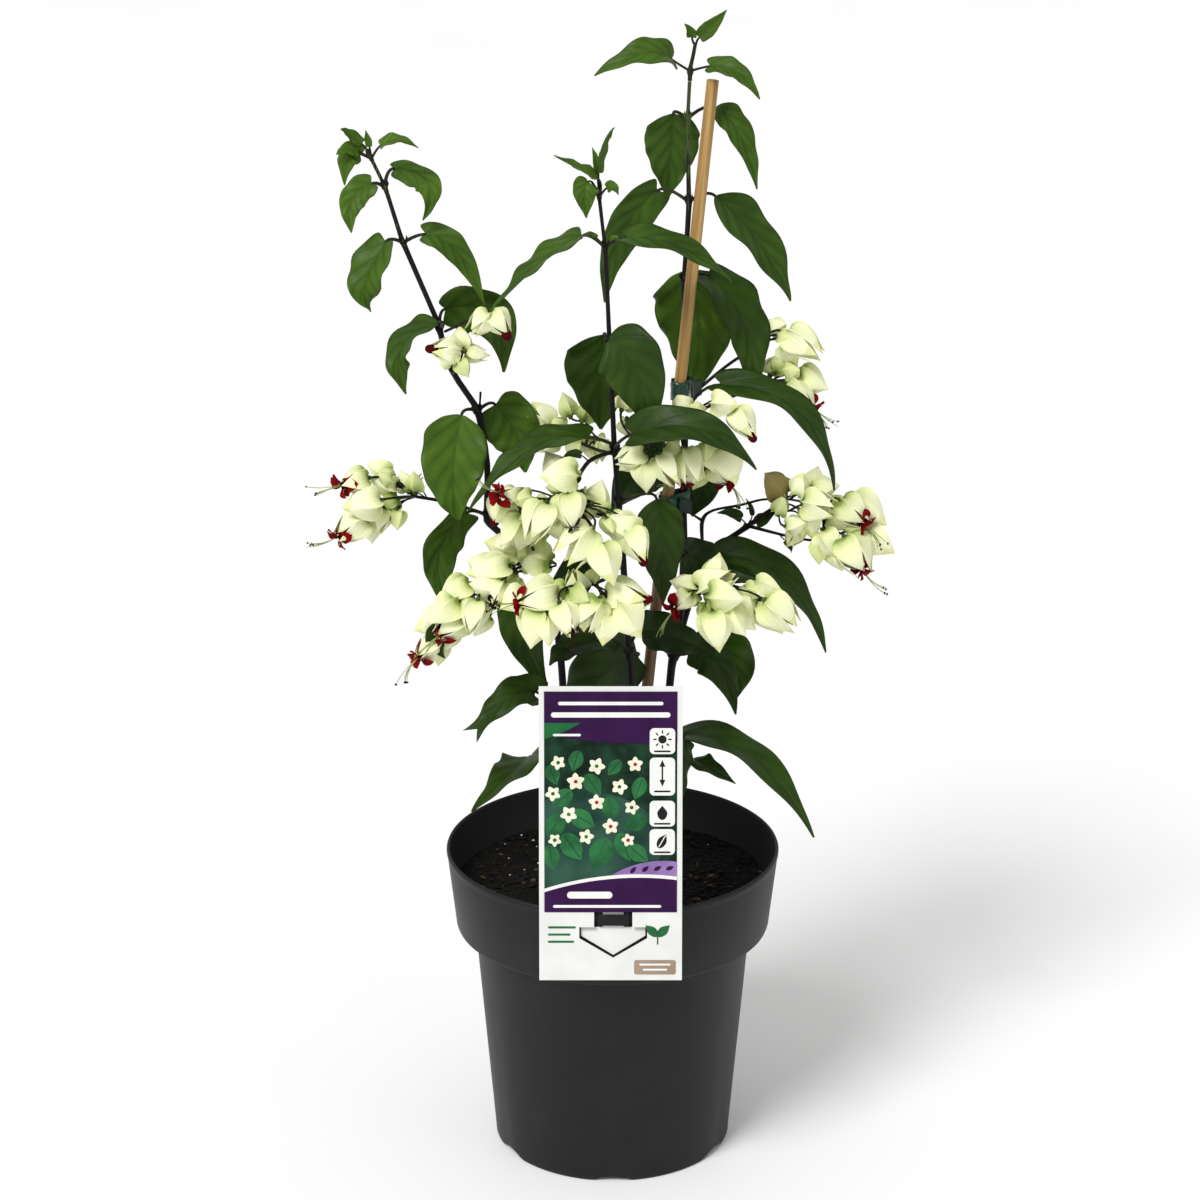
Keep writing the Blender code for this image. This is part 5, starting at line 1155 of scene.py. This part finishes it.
# %% Flowers of each cluster
# the peduncle, then the flowers: foot in mm, the way it points in the front view in degrees, the
# length that shows from the front, and its kind: c closed, y young, b brown, a ajar, o open, and
# with a corolla out of the lantern r red, w dried, d in bud
CLUSTERS = {
    "bloom_left_top": ([(-92.5, -3, 484, 1.0), (-90, -8, 487, 0.9), (-88, -11, 493, 0.9)], [
        (-91, -14, 494, 130, 12, "c"), (-88, -13, 500, 170, 15, "d"), (-86, -7, 500, 100, 12, "c"),
        (-84, -10, 499, -20, 12, "o")]),
    "bloom_left_high": ([(-96.4, -2, 508.5, 0.8), (-82, -5, 516, 0.8), (-73, -7, 520, 0.8)], [
        (-70, -9, 521, -135, 14, "o"), (-69, -9, 522, -55, 14, "d")]),
    "bloom_left": ([(-73, 0, 398, 1.2), (-96, 5, 404, 1.1), (-114, -6, 411, 1.0)], [
        (-141, -18, 426, -170, 15, "r"), (-134, -25, 415, -175, 20, "c"), (-126, -10, 419, 160, 14, "c"),
        (-130, -2, 424, 155, 13, "c"), (-143, -20, 402, -150, 18, "r"), (-141, -6, 399, -80, 14, "c"),
        (-132, -16, 407, -110, 13, "o"), (-119, -4, 414, 115, 10, "c")]),
    "bloom_mid": ([(-1.2, -21.2, 442.5, 1.3), (-14, -38, 442, 1.2), (-22, -52, 432, 1.2),
                   (-24, -56, 422, 1.1)], [
        (-21, -62, 441, 170, 20, "c"), (-55, -58, 428, 155, 9, "r"), (-38, -72, 428, -115, 20, "o"),
        (-26, -70, 433, -80, 18, "w"), (-36, -50, 423, -115, 13, "c"), (-12, -72, 413, -135, 23, "o"),
        (-8, -76, 405, -70, 22, "c"), (9, -66, 411, -65, 18, "d"), (13, -60, 408, 160, 20, "c"),
        (-11, -46, 417, 75, 15, "c"), (-10, -60, 401, -95, 14, "c"), (-60, -50, 424, -115, 17, "d"),
        (-49, -54, 415, -110, 20, "o"), (-49, -40, 410, -90, 15, "c"),
        (-30, -48, 436, 120, 15, "c"), (-18, -52, 428, -100, 17, "o"), (-50, -46, 421, 170, 15, "c"),
        (-2, -56, 417, -60, 16, "c"), (-30, -44, 410, -95, 15, "c"), (-42, -42, 402, -110, 14, "y")]),
    "bloom_front": ([(5.4, -26, 377, 1.3), (-2, -52, 378, 1.2), (-12, -66, 378, 1.1)], [
        (-32, -76, 377, -170, 22, "r"), (-43, -80, 368, -105, 20, "c"), (-38, -84, 365, -85, 15, "c"),
        (-30, -88, 374, -65, 17, "w"), (-8, -82, 375, -125, 17, "o"), (-2, -80, 366, -105, 17, "c"),
        (2, -76, 371, -55, 22, "c"), (-3, -70, 373, 0, 22, "d"), (-20, -66, 374, 100, 14, "o"),
        (-16, -70, 370, -95, 16, "c"), (-24, -72, 368, -110, 14, "o"), (-50, -70, 374, -150, 15, "c")]),
    "bloom_low_left": ([(-60, -7.5, 381, 1.2), (-66, -30, 372, 1.1), (-72, -46, 362, 1.1)], [
        (-53, -42, 390, 170, 20, "c"), (-36, -44, 384, 175, 19, "c"), (-60, -54, 385, -175, 22, "c"),
        (-64, -58, 374, 170, 17, "c"), (-62, -64, 379, -115, 13, "w"), (-82, -54, 374, -155, 17, "c"),
        (-88, -62, 367, -145, 19, "c"), (-77, -68, 369, -105, 17, "o"), (-86, -58, 356, -145, 17, "r"),
        (-74, -50, 354, -110, 12, "c"), (-97, -50, 352, -165, 17, "c"), (-100, -58, 341, -145, 14, "r"),
        (-99, -50, 337, -100, 12, "c"),
        (-56, -46, 377, -130, 15, "c"), (-70, -50, 382, 150, 14, "c"), (-48, -44, 395, 140, 15, "c"),
        (-92, -52, 346, -120, 13, "c")]),
    "bloom_right_mid": ([(2.4, -17.6, 442.5, 1.3), (16, -14, 445, 1.2), (32, -14, 452, 1.1),
                         (50, -14, 456, 1.0)], [
        (17, -32, 446, -160, 15, "o"), (15, -20, 440, -150, 13, "c"), (18, -34, 441, -85, 16, "c"),
        (26, -36, 445, -60, 17, "o"), (40, -30, 447, -75, 18, "o"), (53, -24, 446, -75, 13, "c"),
        (61, -28, 447, -60, 20, "c"), (41, -20, 468, 115, 10, "c"), (56, -22, 472, 0, 15, "c"),
        (69, -22, 468, -55, 17, "d"), (5, -10, 465, 65, 11, "c"), (8, -8, 458, -80, 12, "c"),
        # on the twig behind the centre stem
        (-44, 14, 452, 165, 14, "y"), (-36, 12, 449, 140, 15, "o"), (-33, 14, 441, -150, 15, "o"),
        (-25, 14, 454, 110, 13, "y"), (-20, 13, 443, -100, 15, "o"), (-14, 14, 452, 60, 12, "c"),
        (-10, 14, 440, -80, 15, "o"), (-28, 10, 447, 170, 12, "y")]),
    "bloom_low_right": ([(41, 20, 340, 1.1), (46, -4, 350, 1.0), (56, -26, 360, 1.0)], [
        (47, -28, 364, 165, 14, "c"), (44, -36, 362, -140, 11, "r"), (51, -32, 363, 35, 20, "a"),
        (55, -44, 364, 0, 19, "c"), (57, -50, 356, -80, 21, "c"), (63, -40, 355, -50, 19, "c"),
        (66, -30, 354, -45, 20, "c"), (82, -30, 366, -10, 15, "c"), (87, -42, 360, -40, 24, "a"),
        (86, -26, 354, -50, 20, "c"),
        (72, -28, 362, -60, 16, "c"), (58, -24, 368, 70, 13, "c"), (76, -24, 355, -80, 15, "o")]),
    "bloom_right": ([(79.3, 21.9, 384.3, 1.2), (90, 14, 395, 1.1), (98, 6, 403, 1.1)], [
        (100, 4, 410, 130, 18, "b"), (106, -2, 412, 75, 13, "c"), (116, 10, 410, 75, 13, "c"),
        (117, 4, 413, 15, 14, "c"), (110, -10, 409, -10, 17, "o"), (132, -4, 408, -40, 18, "r"),
        (139, 6, 404, -25, 22, "c"), (101, -8, 394, 20, 12, "c"), (109, 4, 390, -120, 12, "o"),
        (122, -8, 391, -60, 17, "c"), (134, -14, 389, -60, 22, "r"), (146, -2, 387, -25, 19, "c"),
        (126, 0, 399, -20, 15, "c"), (114, -2, 401, -80, 15, "c"), (128, -6, 381, -70, 14, "c")]),
    "bloom_right_top": ([(43.2, 24.8, 461, 1.1), (66, 28, 480, 1.0), (84, 22, 494, 1.0)], [
        (91, 22, 504, 30, 9, "c"), (100, 8, 505, -30, 21, "o"), (99, 14, 497, -60, 13, "c")]),
    "bloom_right_up": ([(46.4, 24, 452.4, 1.1), (70, 24, 463, 1.0), (88, 16, 472, 1.0)], [
        (91, 18, 478, 65, 11, "c"), (100, 8, 475, -40, 20, "r"), (107, 14, 478, -15, 17, "c"),
        (103, 20, 473, -30, 12, "c")]),
    "bloom_tie": ([(43.4, 18.2, 425.5, 1.0), (50, 12, 427, 0.9), (54, 8, 427, 0.9)], [
        (50, 4, 427, -150, 13, "r"), (57, 6, 426, -40, 13, "r")]),
}
print(len(CLUSTERS), "clusters,", sum(len(heads) for _, heads in CLUSTERS.values()), "flowers set by hand")

# %% Twigs and bracts of some clusters
# side twigs, which carry flowers of their own or end bare
TWIGS = {
    "bloom_right_mid": [
        [(1.2, -20.4, 441, 1.2), (-7, -4, 438, 1.1), (-16, 8, 438, 1.0), (-30, 14, 443, 0.9)],
        [(-16, 8, 438, 1.0), (-14, 12, 446, 0.9), (-16, 14, 451, 0.8)]],
    "bloom_right": [
        [(52, 31, 352, 1.2), (53, 30, 370, 1.0), (53, 29, 385, 1.3), (59, 27, 392, 0.8),
         (75, 22, 397, 0.8), (88, 14, 403, 0.7), (98, 6, 405, 0.6)],
        [(53, 29, 385, 1.0), (49, 28, 388, 0.7), (46, 27, 390, 0.7)],
        [(79.3, 21.9, 384.3, 1.2), (86, 20, 388, 0.9), (93, 16, 394, 0.8), (104, 8, 398, 0.7)],
        [(79.3, 21.9, 384.3, 1.2), (98, 16, 381, 0.9), (112, 6, 381, 0.8), (126, -4, 383, 0.8)]],
}
# narrow leaves at the forks of peduncles: start, base, middle and tip, width, facing, tone
BRACTS = {
    "bloom_left": [
        ((-108, -1, 408), (-113, -3, 412), (-116, -6, 417), (-111, -5, 425), 5, (-0.6, -1, 0.4), 0.4),
        ((-108, -1, 408), (-110, -3, 413), (-112, -4, 418), (-110, -3, 422), 2.5, FRONT, 0.3)],
    "bloom_right": [
        ((79, 21.5, 385), (76, 20, 389), (69, 17, 394), (61, 16, 394), 7, (0.2, -1, 0.8), 0.25),
        ((80, 21.5, 385), (84, 19, 387), (90, 17, 391), (95, 16, 394), 8, (0.1, -1, 0.5), 0.25),
        ((80, 21.5, 386), (82, 20, 391), (81, 19, 397), (78, 18, 402), 3, FRONT, 0.2),
        ((98, 15.6, 381), (101, 14, 378), (104, 12, 375), (105, 11, 371), 4, FRONT, 0.2)],
    "bloom_low_left": [
        ((-86, -52, 353), (-96, -60, 349), (-101, -63, 342), (-96, -62, 332), 15, (0.2, -1, 0.3), 0.2)],
    "bloom_low_right": [
        ((46, -4, 350), (50, -10, 357), (50, -14, 364), (46, -16, 370), 5, FRONT, 0.3)],
    "bloom_mid": [
        ((5.2, -25, 384), (-5, -31, 388), (-20, -40, 381), (-40, -43, 364), 22, FRONT, 0.1),
        ((-14, -38, 442), (-18, -42, 447), (-24, -46, 449), (-30, -48, 446), 5, (0, -1, 0.6), 0.3)],
}
print(sum(map(len, TWIGS.values())), "twigs,", sum(map(len, BRACTS.values())), "bracts")

# %% Where the flowers of a cluster stand
SHORTEST, LONGEST = 13.0, 24.0         # mm, of a grown lantern
YOUNG_SHARE = 0.7      # of the flowers that stand clear of a stalk have a young lantern beside them


def set_heads(stalk, heads):
    """The flowers listed for the cluster: foot, way, length and kind.

    The part of a length that doesn't show from the front goes into the depth.
    """
    fork_y = stalk[-1][1]
    flowers = []
    for x, y, z, angle, seen, kind in heads:
        foot, a = Vector((x, y, z)), math.radians(angle)
        long = min(max(seen * 1.10, SHORTEST), LONGEST)
        away = math.sqrt(max(long ** 2 - min(seen, long) ** 2, 0.0)) * 0.8 * (-1 if y <= fork_y else 1)
        way = Vector((math.cos(a) * seen, away, math.sin(a) * seen)).normalized()
        flowers.append((foot, way, long, kind))
    return flowers


def young_ones(flowers, spots, rng):
    """Young lanterns beside most flowers, nearer to the stalk."""
    young = []
    for foot, way, _, _ in flowers:
        hub = min(spots, key=lambda p: (p - foot).length)
        if rng.random() < YOUNG_SHARE and (foot - hub).length > 5:
            aside = Vector([rng.uniform(-1, 1) for _ in range(3)])
            spot = foot.lerp(hub, 0.35) + aside * 5
            young.append((spot, (way + aside * 0.9).normalized(), rng.uniform(9, 14), "y"))
    return young


def set_flower(bm, foot, way, long, kind, rng):
    """One lantern of a random form and tone, with its corolla where its kind has one."""
    shapes = LANTERNS["a" if kind in COROLLAS else kind]
    turn = facing(Vector(), way, rng.uniform(0, 6.28)).to_4x4()
    size = long / LANTERN_LONG
    fat = rng.uniform(1.04, 1.20)
    grown = Matrix.Translation(foot * MM) @ turn @ Matrix.Diagonal((size * fat, size * fat, size, 1))
    paler = rng.uniform(-0.16, 0.10)
    skin = bm.verts.layers.float["tone"]
    for v in put_copy(bm, rng.choice(shapes), grown):
        v[skin] += paler
    if kind in COROLLAS:
        mouth = Matrix.Translation((foot + way * long * 0.86) * MM) @ turn
        put_copy(bm, rng.choice(COROLLAS[kind]), mouth)


# %% Make the clusters
STALK_STEPS = 12       # places between two points of a stalk where a pedicel may leave it
counts = {}
for name, (stalk, heads) in CLUSTERS.items():
    rng = random.Random(name)
    bm = new_leaf_mesh()
    spots = []
    for line in [stalk] + TWIGS.get(name, []):
        sweep(bm, curve_through(line, 5), 8, DARK)
        way_out = [Vector(p[:3]) for p in curve_through(line, STALK_STEPS)]
        # pedicels leave the outer two thirds of a peduncle, and the outer half of a twig
        spots += way_out[len(way_out) // (3 if line is stalk else 2)::4]
    if name == "bloom_low_left":
        sweep(bm, stamen_roll(), 5, THREAD)
    for row in BRACTS.get(name, []):
        shape_leaf(bm, *row, name, YOUNG_BLADE, 0.45, (BRACT, BRACT, DARK, BRACT))
    flowers = set_heads(stalk, heads)
    flowers += young_ones(flowers, spots, rng)
    for foot, way, long, kind in flowers:
        pedicel(bm, min(spots, key=lambda p: (p - foot).length), foot, way)
        set_flower(bm, foot, way, long, kind, rng)
    counts[name] = len(flowers)
    finish_piece(name + "_flowers", bm, FLOWER_SKINS, node=name)
print(counts, "in all", sum(counts.values()))

# %% [markdown]
# ## Hanging card
# A stiff white polypropylene card, printed on its face, hangs on the pot's loop by an arrow-shaped
# tongue cut from its own middle. The plain solid already has the card, its window and its tongue, so
# it stays and gets the plastic. The print is a set of thin ink shapes laid over the face: a dark
# violet head band, a green corner, a garden picture made of simple leaves and flowers, four plain
# tiles with signs for sun, height, water and leaf, and a violet foot band. It carries no words.

# %% Card plastic and inks
# sheet polypropylene, calendered smooth: white, satin
card_plastic, card_shader = new_material("white_card_polypropylene", Roughness=0.4, IOR=1.49,
                                         Specular_IOR_Level=0.2)
at = add(card_plastic, "ShaderNodeTexCoord").outputs["Object"]
haze = add(card_plastic, "ShaderNodeTexNoise", {"Vector": at}, in_Scale=60.0).outputs["Fac"]
pale = add(card_plastic, "ShaderNodeValToRGB", {"Fac": haze}, stops=[(0.3, "#d5d6d3"), (0.7, "#dedfdb")])
join(card_plastic, card_shader, "Base Color", pale.outputs["Color"])
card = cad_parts["label"]
card.data.materials.clear()
card.data.materials.append(card_plastic)


def ink(name, low, high, scale=70.0):
    """Offset ink under a thin varnish, faintly uneven."""
    mat, shader = new_material(name, Roughness=0.3, Specular_IOR_Level=0.12)
    at = add(mat, "ShaderNodeTexCoord").outputs["Object"]
    tint = add(mat, "ShaderNodeTexNoise", {"Vector": at}, in_Scale=scale, in_Detail=3.0).outputs["Fac"]
    film = add(mat, "ShaderNodeValToRGB", {"Fac": tint}, stops=[(0.35, low), (0.65, high)])
    join(mat, shader, "Base Color", film.outputs["Color"])
    return mat


INKS = [ink("violet_ink", "#2b0f38", "#321341"), ink("green_ink", "#1c5c33", "#246a3d"),
        ink("picture_green_ink", "#0b1c14", "#1c3a28", 110.0),
        ink("leaf_green_ink", "#1f5230", "#2f7040", 90.0),
        ink("cream_ink", "#d8d6ba", "#e6e5d4", 200.0), ink("lilac_ink", "#7c5f96", "#8f73a8"),
        ink("white_ink", "#dcdcda", "#e4e4e1"), ink("black_ink", "#1a1a1c", "#232325"),
        ink("red_ink", "#8e1a2a", "#a82233", 200.0), ink("mist_ink", "#173229", "#2f5144", 40.0),
        ink("clay_ink", "#8d7a68", "#9b8877")]
VIOLET, CORNER, PICTURE, LEAFY, CREAM, LILAC, WHITE, BLACK, CRIMSON, MIST, CLAY = range(11)

# %% Ink shapes
# The print is laid out flat, in mm from the middle of the card's foot, and is leant and hung with the
# card at the end. Each layer lies a little before the one below it, so that none of them mix.
LABEL_FOOT, LABEL_LEAN = Vector((-1.5, -110.6, 152.5)), math.radians(12.0)
FIRST_LAYER, LAYER_STEP = 0.45, 0.05
print_bm = bmesh.new()


def flat_disc(centre, size, colour, layer, turn=0.0, sides=40, point=0.0, cuts=()):
    """An ink shape from a disc: stretched, drawn to a point at its top, turned, moved and clipped."""
    bm = bmesh.new()
    bmesh.ops.create_circle(bm, cap_ends=True, segments=sides, radius=1.0)
    for v in bm.verts:
        x, y = v.co.x, v.co.y
        pinch = 1 - point * max(y, 0.0) ** 1.5
        v.co = (x * pinch * size[0] * MM, 0, y * size[1] * MM)
    lay_ink(bm, centre, colour, layer, turn, cuts)


def flat_tile(centre, size, colour, layer, corner=0.0, turn=0.0):
    """An ink rectangle with rounded corners."""
    bm = bmesh.new()
    bmesh.ops.create_grid(bm, x_segments=1, y_segments=1, size=1.0)
    for v in bm.verts:
        v.co = (v.co.x * size[0] / 2 * MM, 0, v.co.y * size[1] / 2 * MM)
    if corner:
        bmesh.ops.bevel(bm, geom=bm.verts[:], offset=corner * MM, segments=5, profile=0.5,
                        affect="VERTICES", material=-1)
    lay_ink(bm, centre, colour, layer, turn)


def lay_ink(bm, centre, colour, layer, turn, cuts=()):
    """Turn a shape, move it, cut off what lies past each cut, and add it to the print, face to the front."""
    bmesh.ops.rotate(bm, cent=(0, 0, 0), matrix=Matrix.Rotation(math.radians(turn), 3, "Y"), verts=bm.verts)
    depth = -FIRST_LAYER - LAYER_STEP * layer
    bmesh.ops.translate(bm, vec=Vector((centre[0], depth, centre[1])) * MM, verts=bm.verts)
    for (x, z), (away_x, away_z) in cuts:
        bmesh.ops.bisect_plane(bm, geom=bm.verts[:] + bm.edges[:] + bm.faces[:],
                               plane_co=Vector((x, 0, z)) * MM, plane_no=(away_x, 0, away_z),
                               clear_outer=True)
    for f in bm.faces:
        f.material_index = colour
        if f.normal.y > 0:
            f.normal_flip()
    mesh = make_mesh("ink", bm)
    print_bm.from_mesh(mesh)
    bpy.data.meshes.remove(mesh)


# %% Garden picture
# the edges of the coloured print: a place on each, and the way out of it
EDGE = [((-38, 0), (-1, 0)), ((38, 0), (1, 0)), ((0, 168), (0, 1)), ((0, 40), (0, -1))]
# place, size and turn of each leaf
PICTURE_LEAVES = (
    (8, 78, 9, 14, 160), (-6, 74, 11, 16, 205), (-22, 78, 10, 15, 145), (-32, 90, 9, 13, 210),
    (14, 92, 8, 12, 240), (-16, 94, 9, 13, 120), (0, 100, 8, 12, 170), (-28, 106, 8, 12, 230),
    (16, 112, 7, 11, 200), (-10, 114, 8, 12, 145), (-33, 120, 7, 10, 160), (2, 124, 6, 9, 220),
    (-20, 128, 7, 10, 195), (16, 74, 8, 11, 130), (-34, 72, 8, 12, 170))
# place and radius of each cream flower
PICTURE_FLOWERS = (
    (14, 126, 4.2), (-8, 125, 4.6), (-30, 127, 4.0), (-20, 116, 4.8), (5, 113, 4.4), (-33, 109, 4.2),
    (-8, 104, 4.4), (12, 101, 4.0), (-24, 97, 4.6), (0, 90, 4.4), (-14, 84, 4.2), (-32, 82, 3.6),
    (10, 82, 3.6))
flat_tile((0, 104), (76, 128), PICTURE, 0)
flat_disc((-14, 80), (44, 30), MIST, 1, cuts=EDGE)
for i, (x, z, w, h, turn) in enumerate(PICTURE_LEAVES):
    flat_disc((x, z), (w * 0.62, h * 0.62), LEAFY, 2 + 0.1 * i, turn, 24, 0.75, EDGE)
    flat_tile((x, z), (0.5, h * 1.05), MIST, 2.05 + 0.1 * i, 0, turn)
for i, (x, z, r) in enumerate(PICTURE_FLOWERS):
    for k in range(5):
        a = math.radians(72 * k + 23 * i)
        petal_at = (x + r * 0.5 * math.sin(a), z + r * 0.5 * math.cos(a))
        flat_disc(petal_at, (r * 0.40, r * 0.58), CREAM, 4 + 0.15 * k, math.degrees(a), 16, 0.3, EDGE)
    # every third flower has a red heart, the others a green one
    flat_disc((x, z), (1.1, 1.1), CRIMSON if i % 3 == 0 else LEAFY, 5, 20 * i, 12)
print("picture shapes:", len(print_bm.faces))

# %% Head band and foot band
# the head band has a green corner and plain bars where a name would stand
flat_disc((16, 300), (205, 162), VIOLET, 6, 0, 160, cuts=EDGE + [((0, 134), (0, -1))])
flat_disc((-52, 152), (46, 15), CORNER, 7, -14, 80, cuts=EDGE + [((6, 0), (1, 0)), ((0, 150), (0, 1))])
flat_tile((0, 161.2), (60, 2.0), WHITE, 8, 1.0)
flat_tile((0, 154.6), (68, 3.0), WHITE, 8, 1.5)
flat_tile((-25, 143.0), (16, 1.4), WHITE, 8, 0.7)
# the foot band has a white swoosh and a lilac hill above it, with four violet leaves on the hill
flat_disc((30, 18), (54, 52), LILAC, 6, 0, 90, cuts=EDGE)
flat_disc((20, -62), (150, 124), WHITE, 7, 4, 160, cuts=EDGE)
flat_disc((20, -64), (150, 124), VIOLET, 8, 4, 160, cuts=EDGE)
for k in range(4):
    flat_disc((34 - 7 * k, 65.8 - 0.12 * k * k), (1.2, 2.4), VIOLET, 9, 70 - 10 * k, 20, 0.8)
flat_tile((-12, 50), (26, 4.0), WHITE, 9, 2.0)
flat_tile((-2, 43.4), (62, 1.6), WHITE, 9, 0.8)
print("with the bands:", len(print_bm.faces))

# %% White tiles with plain signs at the right edge: sun, height, water, leaf
TILE_X, TILE_WIDE, TILE_TALL = 29.5, 14.5, 15.0
HEIGHT_TALL = 22.0     # the tile of the height sign is taller than the others
SUN_Z, HEIGHT_Z, WATER_Z, LEAF_Z = 139.5, 119.0, 97.5, 81.0
RAY_REACH = 4.3
for z, tall in ((SUN_Z, TILE_TALL), (HEIGHT_Z, HEIGHT_TALL), (WATER_Z, TILE_TALL), (LEAF_Z, TILE_TALL)):
    flat_tile((TILE_X, z), (TILE_WIDE, tall), WHITE, 9, 2.6)
flat_disc((TILE_X, 140.5), (2.4, 2.4), BLACK, 10, sides=24)
for k in range(8):
    a = math.radians(45 * k)
    ray_at = (TILE_X + RAY_REACH * math.sin(a), 140.5 + RAY_REACH * math.cos(a))
    flat_tile(ray_at, (0.8, 2.0), BLACK, 10, 0.3, math.degrees(a))
flat_tile((TILE_X, 121.0), (0.9, 8.5), BLACK, 10)
flat_disc((TILE_X, 126.0), (2.0, 2.6), BLACK, 10, 0, 3)
flat_disc((TILE_X, 115.8), (2.0, 2.6), BLACK, 10, 180, 3)
flat_disc((TILE_X, 98.0), (2.9, 4.2), BLACK, 10, 0, 24, 0.95)
flat_disc((TILE_X, 81.5), (2.6, 4.6), BLACK, 10, 30, 24, 0.8)
flat_tile((TILE_X, 81.5), (0.6, 8.0), WHITE, 11, 0, 30)
# a short bar under each sign
for z in (133.6, 110.4, 91.6, 75.0):
    flat_tile((TILE_X, z), (9.5, 1.0), BLACK, 10, 0.5)
print("with the tiles:", len(print_bm.faces))

# %% White foot of the card: plain bars, a seedling's two leaves and a clay bar
# they leave the middle bare, where the tongue's window is
for k, wide in enumerate((16, 13, 15)):
    flat_tile((-36 + wide / 2, 31 - 4.2 * k), (wide, 1.3), LEAFY, 1, 0.6)
for side in (-1, 1):
    flat_disc((27 + 3.4 * side, 29), (2.6, 4.8), LEAFY, 1, 48 * side, 24, 0.8)
flat_tile((27, 24), (0.8, 6.0), LEAFY, 2)
flat_tile((25.5, 7.6), (24, 8.5), CLAY, 1, 1.2)
flat_tile((25.5, 9.2), (18, 1.1), WHITE, 2, 0.5)
flat_tile((25.5, 6.2), (14, 1.1), WHITE, 2, 0.5)

# %% Hang the print with the card
hung = Matrix.Translation(LABEL_FOOT * MM) @ Matrix.Rotation(-LABEL_LEAN, 4, "X")
bmesh.ops.transform(print_bm, matrix=hung, verts=print_bm.verts)
print("ink shapes:", len(print_bm.faces))
finish_piece("card_print", print_bm, INKS, smooth=False)
